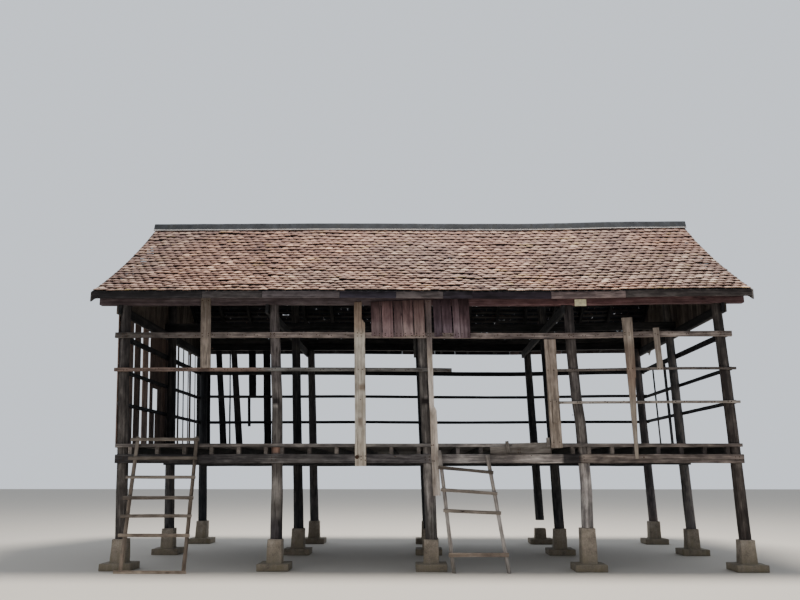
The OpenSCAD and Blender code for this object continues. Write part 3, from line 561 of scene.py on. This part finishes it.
girtTable = [
    (-2.5, 0.72, 0.76, 0.78), (0.3, 0.66, 0.68, 0.70), (2.0, 1.6, 1.55, 1.5), (5, 1.5, 1.42, 1.35)
]
beamTable = [
    (-4.6, 0.82, 0.84, 0.88), (-3.2, 0.72, 0.74, 0.78), (-2.7, 1.1, 1.12, 1.15), (-1.5, 0.95, 1.0, 1.06),
    (-1.1, 1.25, 1.28, 1.36), (-0.1, 1.15, 1.17, 1.25), (0.1, 2.1, 2.1, 2.1), (0.6, 4.4, 4.5, 4.5),
    (0.95, 2.8, 2.8, 2.75), (1.2, 3.0, 2.95, 2.9), (1.5, 4.2, 4.2, 4.15), (1.9, 3.4, 3.35, 3.3),
    (2.25, 2.5, 2.3, 2.1), (2.8, 1.7, 1.56, 1.45), (3.05, 1.3, 1.16, 1.1), (3.35, 1.9, 1.75, 1.65),
    (4.6, 2.0, 1.8, 1.7)
]


def middleGirtTint(middle, co):
    return (0.95, 0.74, 0.66) if co.x < -2.52 else alongTable(girtTable, co.x)


def beamTint(middle, co):
    return (0.45, 0.45, 0.48) if 1.94 < co.x < 2.2 else alongTable(beamTable, co.x)


# The patch over the beam has a painted dark shadow along its lower edge
def patchTint(middle, co):
    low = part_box("beam_patch_board")[0][2]
    return alongTable([(low, 0.12, 0.12, 0.14), (low + 0.03, 0.5, 0.53, 0.57),
                       (low + 0.06, 0.74, 0.8, 0.86)], co.z)


# The joists are painted with bluish shade under the floor; only their weathered ends at the front are pale
joistTable = [
    (-4.6, 1.7, 1.75, 1.8), (-3.1, 1.8, 1.85, 1.9), (-2.8, 1.35, 1.4, 1.45), (-1.8, 0.85, 0.88, 0.94),
    (-1.4, 1.75, 1.8, 1.85), (0.4, 0.95, 1.0, 1.1), (2.7, 1.35, 1.38, 1.42), (3.3, 0.5, 0.52, 0.6),
    (4.6, 0.7, 0.7, 0.75)
]


def joistTint(middle, co):
    return (0.22, 0.28, 0.36) if co.y > -2.43 else alongTable(joistTable, middle.x)


# The floor is worn grey above and painted with bluish shade below
def floorTint(middle, co):
    return (1.5, 1.45, 1.4) if co.z > house["floorZ"] + 0.016 else (0.6, 0.62, 0.66)


# The low sun from behind has bleached some boards of the left wall
def leftWallTint(middle, co):
    luck = 0.5 + 0.5 * math.sin(middle.y * 37)
    pale = 1 + 2.4 * luck ** 3 if middle.y < -0.9 else 1 + 0.8 * luck
    return (0.75 * pale, 0.62 * pale, 0.58 * pale)


# Worn ladder rungs are higher than they are thick; the lowest of the right ladder is a plank
rungs = {"higher": 1.3, "plank": 1.6, "plankBelow": 0.4, "plankTint": (1.9, 1.8, 1.7)}


def rungTint(middle, co):
    return rungs["plankTint"] if co.z < rungs["plankBelow"] else bare


def heightenRungs(shape, planked):
    for part in looseParts(shape):
        middle, axes = ownAxes(part)
        growth = rungs["plank" if planked and middle.z < rungs["plankBelow"] else "higher"]
        up = (Vector((0, 0, 1)) - axes[0] * axes[0].z).normalized()
        for corner in part:
            corner.co += up * (corner.co - middle).dot(up) * (growth - 1)
            corner.co.z = max(corner.co.z, 0)


# Towards the rooms the timber keeps its painted shade, and the side that is turned out is tinted lighter,
# weathered grey
def outTint(axis, side, tint, inner=bare):
    def tinted(middle, co):
        outward = side or math.copysign(1, middle[axis])
        return tint if (co[axis] - middle[axis]) * outward > 0 else inner
    return tinted


# The posts behind catch more light towards the right-hand end and below the floor
def backPostTint(middle, co):
    if co.y > middle.y:
        return (4.6, 4.3, 4.0)
    return (6.5, 5.5, 5.0) if middle.x > 3 else (2.1, 2.05, 2.0)


def middlePostTint(middle, co):
    if co.y > middle.y:
        return (2.4, 2.3, 2.2)
    low = 1.2 if co.z < house["floorZ"] else 1.0
    reach = (1.7 if middle.x < 1 else 2.4 if middle.x < 3.4 else 3.0) * low
    return (reach, reach * 0.95, reach * 0.9)


# A tint by place along the house (axis 0) or by height (axis 2), of each spot or whole board
def tableTint(axis, table, whole=False):
    return lambda middle, co: alongTable(table, (middle if whole else co)[axis])


tintOf = {
    "front_posts": postTint, "front_studs": studTint, "front_upper_boards": panelTint,
    "front_wall_plate": tableTint(0, [
        (-5.2, 1.2, 1.45, 1.6), (-1.2, 1.3, 1.65, 1.85), (0.8, 1.5, 1.35, 1.5), (2.2, 1.6, 1.3, 1.4),
        (5, 1.2, 1.1, 1.2)
    ]),
    "front_upper_girt": tableTint(0, [
        (-4.8, 0.95, 0.92, 0.88), (-2.3, 1.75, 1.58, 1.52), (1.0, 1.6, 1.42, 1.38), (4.8, 1.6, 1.46, 1.38)
    ]),
    "front_middle_girt": middleGirtTint, "front_lower_girt": lambda middle, co: (1.55, 1.48, 1.4),
    "front_floor_beam": beamTint, "beam_patch_board": patchTint, "floor_joists": joistTint,
    "floor_edge_bars": tableTint(0, [
        (-4.6, 1.8, 1.75, 1.7), (-2.5, 1.75, 1.7, 1.65), (-2.1, 1.6, 1.6, 1.6), (-1.3, 1.6, 1.6, 1.62),
        (-1.1, 1.9, 1.9, 1.9), (-0.8, 2.6, 2.65, 2.6), (-0.3, 2.3, 2.35, 2.35), (0.3, 2.1, 2.15, 2.2),
        (0.6, 2.9, 2.9, 2.9), (1.0, 2.7, 2.7, 2.7), (1.3, 1.8, 1.8, 1.8), (2.3, 2.0, 1.95, 1.9),
        (2.7, 1.65, 1.55, 1.5), (4.6, 1.95, 1.8, 1.7)
    ]),
    "front_floor": floorTint, "back_floor": floorTint, "left_wall_boards": leftWallTint,
    "right_ladder_poles": tableTint(2, [
        (0, 1.4, 1.45, 1.52), (0.6, 1.75, 1.86, 2.05), (1.7, 1.4, 1.46, 1.56)
    ]),
    "left_ladder_poles": tableTint(2, [
        (0, 1.5, 1.36, 1.22), (0.5, 1.0, 0.95, 0.9), (1.9, 0.9, 0.9, 0.9)
    ]),
    "right_ladder_rungs": rungTint,
    "left_ladder_rungs": tableTint(2, [
        (0, 3.2, 3.0, 2.7), (0.3, 2.4, 2.3, 2.2), (0.55, 1.9, 1.85, 1.75), (0.8, 1.1, 1.1, 1.1),
        (1.1, 1, 1, 1), (1.4, 0.75, 0.75, 0.75), (2.5, 0.9, 0.9, 0.9)
    ], True),
    "back_posts": backPostTint, "middle_posts": middlePostTint,
    "cut_back_post": outTint(1, 1, (4.6, 4.3, 4.0), (2.3, 2.2, 2.1)),
    "back_girts": outTint(1, 1, (4.6, 4.3, 4.0)), "back_wall_plate": outTint(1, 1, (4.0, 3.6, 3.4)),
    "back_floor_beam": outTint(1, 1, (4.4, 4.1, 3.9)), "back_wall_boards": outTint(1, 1, (4.0, 3.5, 3.1)),
    "end_wall_girts": outTint(0, 0, (4.2, 3.9, 3.6)), "right_wall_stud": outTint(0, 1, (4.2, 3.9, 3.6)),
}

# How the front posts bow: place along the house, by height, in metres
postBows = [
    [(0.4, 0), (1.3, -0.012), (2.0, -0.015), (2.7, -0.03), (3.9, -0.02)],
    [(0.4, 0.01), (1.26, 0.030), (2.43, 0.044), (3.04, 0.032), (3.9, 0.014)],
    [(0.4, 0.008), (1.5, 0.014), (3.9, 0.010)],
    [(0.5, 0.012), (1.26, 0.044), (1.98, 0.042), (2.6, 0.012), (3.18, 0.002), (3.9, 0.008)],
    [(0.4, 0), (2.0, 0.01), (3.9, 0)],
]


def bowPosts(shape):
    for corner in shape.verts:
        line = nearestLine(corner.co.x, corner.co.z)
        corner.co.x += alongTable(postBows[line], corner.co.z)[0]


# Metres between the cuts along a piece, finer on the front, then those across it; and the
# angle in degrees up to which a round piece is smoothed
cuts = {"coarse": 0.28, "fine": 0.045, "smoothed": 34,
        "across": {"front_studs": (0, 0.025), "beam_patch_board": (2, 0.02)}}
finely = ("front_posts", "front_upper_boards", "front_studs", "front_floor_beam", "floor_edge_bars")
timbers = [(partName, look) for names, look in hewn.items() for partName in names.split()]
for seed, (partName, (wood, axis, arris, bow, wane)) in enumerate(timbers):
    shape = copyOfPart(partName)
    softenEdges(shape, arris)
    crossCut(shape, axis, cuts["fine" if partName in finely else "coarse"])
    if partName in cuts["across"]:
        crossCut(shape, *cuts["across"][partName])
    ageTimber(shape, seed, bow, wane, tintOf.get(partName))
    if partName == "front_posts":
        bowPosts(shape)
    if "rungs" in partName:
        heightenRungs(shape, partName == "right_ladder_rungs")
    rounded = "post" in partName or "poles" in partName
    finishPiece(partName + "Aged", shape, materials[wood], slotOf[partName], [partName],
                cuts["smoothed"] if rounded else None)
print("timber aged:", len(timbers), "parts")


# Cast plinths with knocked corners, each face a little uneven
cast = {"arris": 0.012, "cell": 0.07, "uneven": 0.006, "wave": 5, "flat": 0.004, "lowest": 0.002,
        "smoothed": 40}
for partName in ("front_plinths", "middle_plinths", "back_plinths"):
    shape = copyOfPart(partName)
    softenEdges(shape, cast["arris"], segments=2)
    for axis in range(3):
        crossCut(shape, axis, cast["cell"])
    for corner in shape.verts:
        if corner.co.z > cast["flat"]:
            corner.co += noise.noise_vector(corner.co * cast["wave"]) * cast["uneven"]
            corner.co.z = max(corner.co.z, cast["lowest"])
    finishPiece(partName + "Cast", shape, materials["plinth"], "plinth_concrete", [partName],
                cast["smoothed"])
print("plinths cast")


# A geometry tree with named inputs, for what repeats
def newTree(name, floats, ints=()):
    tree = bpy.data.node_groups.new(name, "GeometryNodeTree")
    kinds = [("Geometry", "Geometry"), ("Material", "Material")]
    kinds += [(label, "Float") for label in floats] + [(label, "Int") for label in ints]
    for label, kind in kinds:
        tree.interface.new_socket(label, in_out="INPUT", socket_type="NodeSocket" + kind)
    tree.interface.new_socket("Geometry", in_out="OUTPUT", socket_type="NodeSocketGeometry")
    return tree, addNode(tree, "NodeGroupInput").outputs, addNode(tree, "NodeGroupOutput")


# The last nodes of a tree: a shape is laid on points, made real and painted
def layOnPoints(tree, value, out, points, shape, scale, euler):
    rotation = output(tree, "FunctionNodeEulerToRotation", {"Euler": euler})
    laid = output(tree, "GeometryNodeInstanceOnPoints", {
        "Points": points, "Instance": shape, "Scale": scale, "Rotation": rotation})
    real = output(tree, "GeometryNodeRealizeInstances", {"Geometry": laid})
    painted = output(tree, "GeometryNodeSetMaterial", {"Geometry": real, "Material": value["Material"]})
    tree.links.new(painted, out.inputs[0])
    return tree


def plainMesh(name, tree, base, values):
    holder = addObject(name + "Holder", base)
    modifier = holder.modifiers.new(name, "NODES")
    modifier.node_group = tree
    for socket in tree.interface.items_tree:
        if socket.in_out == "INPUT" and socket.name in values:
            modifier[socket.identifier] = values[socket.name]
    graph = bpy.context.evaluated_depsgraph_get()
    mesh = bpy.data.meshes.new_from_object(holder.evaluated_get(graph), depsgraph=graph)
    holder.modifiers.remove(modifier)
    bpy.data.objects.remove(holder)
    mesh.name = name
    return mesh


# Tiles: the roof's hanging curve is worked out in the tree, in metres
roof = {"Ridge": 5.85, "Half length": 4.90, "Courses": 24, "Across": 76, "Step": 0.020, "Thickness": 0.013,
        "Length": 0.169, "Rounding": 0.028, "Camber": 0.009, "Shift": leanX(house["plateTop"])}
# The slope's height over the wall and its dip; then a tile's share of its place, how deep it
# is bedded, and how far the top course stays from the ridge
laying = {"atPlate": 4.27, "dip": 0.064, "broad": 0.975, "bed": 0.006, "clear": 0.03}
# What differs from tile to tile: slip and sink in metres, turns in radians; a few have slid
tileLuck = {"slip": 0.014, "slid": 0.016, "slidOver": 0.98, "sink": 0.004, "sag": 0.045, "raised": 0.012,
            "pitch": 0.03, "turn": 0.045, "rock": 0.04}


def tileTree():
    tree, value, out = newTree("tiledSlope", (
        "Half length", "Shift", "Eave", "Ridge", "Fall", "Sag", "Side", "Step", "Thickness", "Length",
        "Rounding", "Camber"), ("Courses", "Across", "Seed"))
    plus, minus, times, over = chains(tree, "ADD", "SUBTRACT", "MULTIPLY", "DIVIDE")

    def dice(salt, swing=None):
        low, high = (-swing, swing) if swing else (0, 1)
        return addNode(tree, "FunctionNodeRandomValue", {2: low, 3: high, "Seed": plus(value["Seed"], salt)},
                       data_type="FLOAT").outputs[1]

    def at(x, y, z):
        return output(tree, "ShaderNodeCombineXYZ", {"X": x, "Y": y, "Z": z})

    def moved(geometry, position):
        return output(tree, "GeometryNodeSetPosition", {"Geometry": geometry, "Position": position})

    def stored(geometry, name, number, domain="POINT"):
        return output(tree, "GeometryNodeStoreNamedAttribute", {
            "Geometry": geometry, "Name": name, "Value": number}, data_type="FLOAT", domain=domain)

    def dip(u):
        return plus(minus(value["Ridge"], times(u, value["Fall"])), times(u, u, value["Sag"]))

    width = over(times(value["Half length"], 2.0), plus(value["Across"], 0.5))
    # One tile, its lower edge at the front, pressed a little hollow at its head
    sheet = output(tree, "GeometryNodeMeshGrid", {
        "Size X": times(width, laying["broad"]), "Size Y": 1.0, "Vertices X": 7, "Vertices Y": 3})
    spot = addNode(tree, "ShaderNodeSeparateXYZ", {"Vector": output(tree, "GeometryNodeInputPosition")})
    down = plus(spot.outputs["Y"], 0.5)
    sideways = over(spot.outputs["X"], width)
    sideways = times(sideways, sideways, 4.0)
    away = plus(times(down, value["Length"]), times(sideways, value["Rounding"], minus(1.0, down)))
    lift = times(minus(1.0, sideways), value["Camber"])
    marked = stored(moved(sheet, at(spot.outputs["X"], away, lift)), "down", over(away, value["Length"]))
    thick = output(tree, "GeometryNodeExtrudeMesh", {
        "Mesh": marked, "Offset Scale": value["Thickness"], "Individual": False})
    under = output(tree, "GeometryNodeFlipFaces", {"Mesh": marked})
    closed = addNode(tree, "GeometryNodeJoinGeometry")
    # The underside is marked for its painted shade
    for geometry in (stored(under, "under", 1.0, "FACE"), thick):
        tree.links.new(geometry, closed.inputs[0])
    tile = output(tree, "GeometryNodeMergeByDistance", {"Geometry": closed.outputs[0], "Distance": 0.0005})

    # Where each tile hangs: every course ends with half a tile, on the left or on the right
    inRow = plus(value["Across"], 1.0)
    spots = output(tree, "GeometryNodeMeshLine", {"Count": times(value["Courses"], inRow)})
    index = output(tree, "GeometryNodeInputIndex")
    course = sums(tree, "FLOOR", over(plus(index, 0.5), inRow))
    column = minus(index, times(course, inRow))
    gauge = over(value["Eave"], value["Courses"])
    slid = times(sums(tree, "GREATER_THAN", dice(2), tileLuck["slidOver"]), tileLuck["slid"])
    inCourse = sums(tree, "LESS_THAN", plus(course, 1.5), value["Courses"])
    u = plus(times(plus(course, 1.0), gauge), times(plus(dice(1, tileLuck["slip"]), slid), inCourse))
    odd = sums(tree, "MODULO", course, 2.0)
    even = minus(1.0, odd)
    first = times(sums(tree, "LESS_THAN", column, 0.5), odd)
    ending = times(sums(tree, "GREATER_THAN", column, minus(value["Across"], 0.5)), even)
    stagger = plus(times(even, 0.5), times(minus(first, ending), 0.25))
    broad = minus(1.0, times(plus(first, ending), 0.5))
    x = plus(minus(times(plus(column, stagger), width), value["Half length"]), value["Shift"])
    # The slope sags here and there, and runs of tiles have been lifted
    wander = noiseAt(tree, at(times(column, 0.3), times(course, 0.4), value["Side"]), 1.0, 2.0, 0.5)
    runs = noiseAt(tree, at(times(column, 0.13), times(course, 5.3), value["Seed"]), 1.0, 1.0, 0.5)
    uneven = plus(times(minus(wander, 0.5), tileLuck["sag"]), dice(9, tileLuck["sink"]),
                  between(tree, runs, 0.60, 0.68, 0.0, tileLuck["raised"]))
    top = minus(plus(dip(u), uneven), plus(value["Thickness"], laying["bed"]))
    fall = minus(dip(minus(u, gauge)), dip(u))
    pitch = plus(sums(tree, "ARCTAN2", minus(fall, value["Step"]), gauge), dice(4, tileLuck["pitch"]))
    spin = plus(times(sums(tree, "GREATER_THAN", value["Side"], 0.0), math.pi), dice(5, tileLuck["turn"]))
    short = sums(tree, "MINIMUM", 1.0, over(minus(u, laying["clear"]), value["Length"]))
    hung = stored(moved(spots, at(x, times(u, value["Side"]), top)), "tone",
                  plus(times(dice(6), 0.7), times(dice(7), 0.3)))
    return layOnPoints(tree, value, out, hung, tile, at(broad, short, 1.0),
                       at(pitch, dice(8, tileLuck["rock"]), spin))


# Both slopes: side of the ridge, aisle, distance to the eave, seed and the part it stands for
slopes = {"frontTiles": (-1.0, "frontAisle", 2.77, 11, "front_tiles"),
          "backTiles": (1.0, "backAisle", 2.75, 29, "back_tiles")}
tiling = tileTree()
for name, (side, aisleName, eave, seed, partName) in slopes.items():
    aisle = house[aisleName]
    fall = (roof["Ridge"] - laying["atPlate"] + 4 * laying["dip"]) / aisle
    mesh = plainMesh(name, tiling, bpy.data.meshes.new("empty"), {
        **roof, "Material": materials["clay"], "Eave": eave, "Side": side, "Seed": seed,
        "Fall": fall, "Sag": 4 * laying["dip"] / aisle ** 2})
    finishMesh(name, mesh, materials["clay"], "roof_tile", [partName])
    print(name, "laid:", len(mesh.polygons), "faces")


# Planks and nails: one shape on points that carry their own turn and size
def scatterTree(name, shapeKind, shapeInputs):
    tree, value, out = newTree(name, ["Size"])
    turn, size = (output(tree, "GeometryNodeInputNamedAttribute", {"Name": label}, data_type="FLOAT_VECTOR")
                  for label in ("turn", "size"))
    scale = output(tree, "ShaderNodeVectorMath", {0: size, "Scale": value["Size"]}, operation="SCALE")
    shape = output(tree, shapeKind, shapeInputs)
    return layOnPoints(tree, value, out, value["Geometry"], shape, scale, turn)


def pointMesh(name, spots):
    mesh = bpy.data.meshes.new(name)
    mesh.from_pydata([spot["at"] for spot in spots], [], [])
    for label in ("turn", "size"):
        values = mesh.attributes.new(label, "FLOAT_VECTOR", "POINT")
        values.data.foreach_set("vector", [number for spot in spots for number in spot[label]])
    return mesh


boardTree = scatterTree("boards", "GeometryNodeMeshCube", {"Size": (1, 1, 1)})
nailTree = scatterTree("nails", "GeometryNodeMeshCone", {
    "Vertices": 8, "Radius Top": 0.55, "Radius Bottom": 1.0, "Depth": 0.7})

# Fascia planks along the eaves, butted end to end: place of each left end and its tint; each plank is darker
# on its upper half, painted shade under the tiles, and lighter on its lower half, painted light
fascia = {
    "height": 0.10, "thick": 0.025, "gap": 0.004, "arris": 0.003, "cell": 0.4, "bow": 0.003, "wane": 0.002,
    "seed": 5, "lower": 1.25, "upper": 0.7, "planks": [
        (-5.05, (0.42, 0.42, 0.47)), (-3.4, (0.46, 0.44, 0.47)), (-2.5, (0.46, 0.42, 0.47)),
        (-1.34, (0.15, 0.14, 0.21)), (-0.50, (0.52, 0.47, 0.50)), (0.2, (0.17, 0.15, 0.21)),
        (0.63, (0.13, 0.105, 0.155)), (1.8, (2.7, 2.25, 2.25)), (2.9, (0.40, 0.37, 0.38))]}


# Darker upper half: painted shade under the tiles; lighter lower half: painted light
def fasciaTint(middle, co):
    base = [tint for start, tint in fascia["planks"] if start <= middle.x][-1]
    return tuple(part * fascia["lower" if co.z < middle.z else "upper"] for part in base)


fasciaSpots = []
low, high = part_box("eave_fascias")
ends = [start for start, tint in fascia["planks"]][1:]
for y, top in ((low[1] + fascia["thick"] / 2, high[2]),
               (high[1] - fascia["thick"] / 2, low[2] + fascia["height"])):
    for x0, x1 in zip([low[0]] + ends, ends + [high[0]]):
        fasciaSpots.append({"at": ((x0 + x1) / 2, y, top - fascia["height"] / 2), "turn": (0, 0, 0),
                            "size": (x1 - x0 - fascia["gap"], fascia["thick"], fascia["height"])})
shape = bmesh.new()
shape.from_mesh(plainMesh("eaveFasciaPlanks", boardTree, pointMesh("fasciaSpots", fasciaSpots),
                          {"Material": materials["greyTimber"], "Size": 1.0}))
for layer in list(shape.verts.layers.float_vector.values()):
    shape.verts.layers.float_vector.remove(layer)
softenEdges(shape, fascia["arris"])
crossCut(shape, 0, fascia["cell"])
ageTimber(shape, fascia["seed"], fascia["bow"], fascia["wane"], fasciaTint)
finishPiece("eaveFasciaPlanks", shape, materials["greyTimber"], "grey_timber", ["eave_fascias"])

# Nail heads: line of posts, places from it, heights, and how far before the wall's face
nails = {"head": 0.0085, "proud": 0.001, "stray": (0.006, 0.012), "rows": [
    (0, (1.19, 1.28), (2.90, 3.39, 3.43, 3.93), 0.025),
    (2, (-0.965, -0.905), (1.55, 1.60, 2.88, 3.39, 3.43, 3.92), 0.025),
    (2, (0.075, 0.100), (1.53, 1.76), 0.025), (2, (0.105, 0.135), (3.39, 3.43, 3.93), 0.025),
    (3, (-0.400, -0.310), (1.80, 2.40, 2.88), 0.052), (3, (0.795, 0.860), (2.89, 3.40, 3.43), 0.025),
    (3, (1.245, 1.285), (2.88, 3.40), 0.025), (2, (1.33, 1.36), (1.66, 1.70), 0.025),
    (2, (-0.70, -0.63, -0.54, -0.45, -0.37, -0.31, -0.24, -0.15, -0.07, 0.03, 0.22, 0.29, 0.35, 0.44, 0.51,
         0.56, 0.61, 0.71), (3.395, 3.43), 0.025)],
    "postSides": (-0.03, 0.03), "postHeights": (1.55, 1.59, 3.39, 3.43)}
# Nails left in the girts by the lost wall boards, in pairs: lengths of girt and their height
lost = {"seed": 8, "pair": (0.03, 0.05), "stray": 0.014, "board": (0.17, 0.26),
            "girts": ((-4.5, 4.5, 3.408), (-4.5, 0.35, 2.886), (2.0, 4.5, 2.886), (2.0, 4.5, 2.39))}
# Knotholes on the front, each a flat dark iron disc of painted shade in the hole: place, height, how far
# before the wall's face, and size
knots = {"proud": 0.0005, "flat": 0.2, "holes": (
    (-1.075, 1.590, 0.025, 3.6), (-1.03, 2.43, 0.025, 0.9), (-0.96, 2.06, 0.025, 0.8),
    (-3.27, 3.2, 0.025, 1.0), (2.09, 2.2, 0.025, 1.0), (1.47, 1.612, 0.0, 0.9), (-0.52, 1.60, 0.0, 1.3),
    (-3.6, 1.56, 0.0, 1.5), (3.1, 1.585, 0.0, 1.2))}
nailSpots = []


def driveNail(x, z, before=0.0, size=(1, 1, 1), proud=nails["proud"]):
    nailSpots.append({"at": (x, house["frontFace"] - before - proud, z), "turn": (math.pi / 2, 0, 0),
                      "size": size})


for line, places, heights, before in nails["rows"]:
    for place in places:
        for z in heights:
            luck = noise.noise_vector(Vector((place * 37, z * 41, line)))
            driveNail(lineX(line) + leanX(z) + place + nails["stray"][0] * luck.x,
                      z + nails["stray"][1] * luck.z, before)
for i in range(5):
    for z in nails["postHeights"]:
        for side in nails["postSides"]:
            driveNail(lineX(i) + leanX(z) + side, z)
dice = random.Random(lost["seed"])
for start, end, z in lost["girts"]:
    x = start
    while x < end:
        for side in (0, dice.uniform(*lost["pair"])):
            driveNail(x + leanX(z) + side, z + dice.uniform(-lost["stray"], lost["stray"]))
        x += dice.uniform(*lost["board"])
# The knotholes go in with the nails: flat dark discs of painted shade
for x, z, before, wide in knots["holes"]:
    driveNail(x, z, before, (wide, wide, knots["flat"]), knots["proud"])
mesh = plainMesh("wallNails", nailTree, pointMesh("wallNailSpots", nailSpots),
                 {"Material": materials["iron"], "Size": nails["head"]})
finishMesh("wallNails", mesh, materials["iron"], None)
print("nails driven:", len(nailSpots))

# Blank cream plaque on the front wall plate
plaque = {"x": (2.197, 2.372), "z": (3.858, 3.962), "thick": 0.008, "arris": 0.002,
          "paint": (0.97, 0.92, 0.66), "dirt": (0.2, 0.15, 0.1)}
paint, tree, shader = startMaterial("creamPaint", 0.6)
dirt = between(tree, noiseAt(tree, placeIn(tree), 24, 5, 0.65), 0.45, 0.75, 0.0, 0.45)
finishMaterial(tree, shader, blendColours(tree, dirt, plaque["paint"], plaque["dirt"]), dirt, 0.2, 0.001)
shape = bmesh.new()
bmesh.ops.create_cube(shape, size=1)
for corner in shape.verts:
    corner.co.x = plaque["x"][corner.co.x > 0]
    corner.co.y = house["frontFace"] - (0 if corner.co.y > 0 else plaque["thick"])
    corner.co.z = plaque["z"][corner.co.z > 0]
softenEdges(shape, plaque["arris"])
finishPiece("wallPlaque", shape, paint, None)

# Ridge: lengths of cement cap, and the pale edge of the mortar that they are bedded in
ridge = {"cell": 0.14, "rough": 0.0035, "line": 0.018, "out": 0.020, "up": 0.010, "steps": 70, "short": 0.01,
         "lap": 0.003, "outWave": 0.002, "upWave": 0.003}
shape = copyOfPart("ridge_cap")
crossCut(shape, 0, ridge["cell"])
for corner in shape.verts:
    corner.co += noise.noise_vector(corner.co * 3.1) * ridge["rough"]
finishPiece("ridgeCapCement", shape, materials["ridge"], "ridge_cement", ["ridge_cap"])
low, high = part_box("ridge_cap")
shape = bmesh.new()
for side, edge in ((-1, low[1]), (1, high[1])):
    rows = []
    for k in range(ridge["steps"] + 1):
        x = low[0] + ridge["short"] + (high[0] - low[0] - 2 * ridge["short"]) * k / ridge["steps"]
        wave = ridge["outWave"] * noise.noise(Vector((x * 2.2, side, 0)))
        y = edge + side * (ridge["out"] + wave)
        z = low[2] + ridge["up"] + ridge["upWave"] * noise.noise(Vector((x * 1.3, side, 4)))
        inside = edge - side * ridge["lap"]
        top = z + ridge["line"]
        rows.append([shape.verts.new((x, *point))
                     for point in ((inside, z), (y, z), (y, top), (inside, top))])
    for before, after in zip(rows, rows[1:]):
        for k in range(4):
            shape.faces.new((before[k], before[(k + 1) % 4], after[(k + 1) % 4], after[k]))
    shape.faces.new(rows[0])
    shape.faces.new(rows[-1])
bmesh.ops.recalc_face_normals(shape, faces=shape.faces)
finishPiece("ridgeMortarEdge", shape, materials["mortar"], "ridge_cement")
print("ridge laid")

# A pale, softly lit yard
yard = {"floor": (0.62, 0.58, 0.52), "reach": 60, "below": 0.001, "sky": (0.86, 0.92, 1.0),
        "behind": 1.0, "before": 0.40}
floorMesh = bpy.data.meshes.new("yardFloor")
floorMesh.from_pydata([(x * yard["reach"], y * yard["reach"], -yard["below"])
                       for x, y in ((-1, -1), (1, -1), (1, 1), (-1, 1))], [], [(0, 1, 2, 3)])
paint, shader = startMaterial("yardFloor", 0.95)[::2]
shader.inputs["Base Color"].default_value = (*yard["floor"], 1)
floorMesh.materials.append(paint)
addObject("yardFloor", floorMesh)

world = bpy.data.worlds.new("paleSky")
world.use_nodes = True
tree = world.node_tree
background = tree.nodes["Background"]
background.inputs["Color"].default_value = (*yard["sky"], 1)
facing = addNode(tree, "ShaderNodeSeparateXYZ", {"Vector": placeIn(tree, "Generated")}).outputs["Y"]
light = between(tree, facing, -0.2, 0.75, yard["before"], yard["behind"])
tree.links.new(light, background.inputs["Strength"])
bpy.context.scene.world = world

lamps = {
    "above": {"at": (1.5, -1.0, 17), "to": (0, -0.3, 4.5), "size": 5, "power": 5200,
              "colour": (1.0, 0.95, 0.88)},
    "frontLeft": {"at": (-9, -16, 8), "to": (0, 0, 2.6), "size": 9, "power": 260,
                  "colour": (1.0, 0.97, 0.94)},
}
for name, look in lamps.items():
    lampData = bpy.data.lights.new(name, "AREA")
    lampData.shape = "DISK"
    lampData.size = look["size"]
    lampData.energy = look["power"]
    lampData.color = look["colour"]
    lamp = addObject(name, lampData)
    lamp.location = look["at"]
    lamp.rotation_euler = (Vector(look["to"]) - Vector(look["at"])).to_track_quat("-Z", "Y").to_euler()
print("lights set")
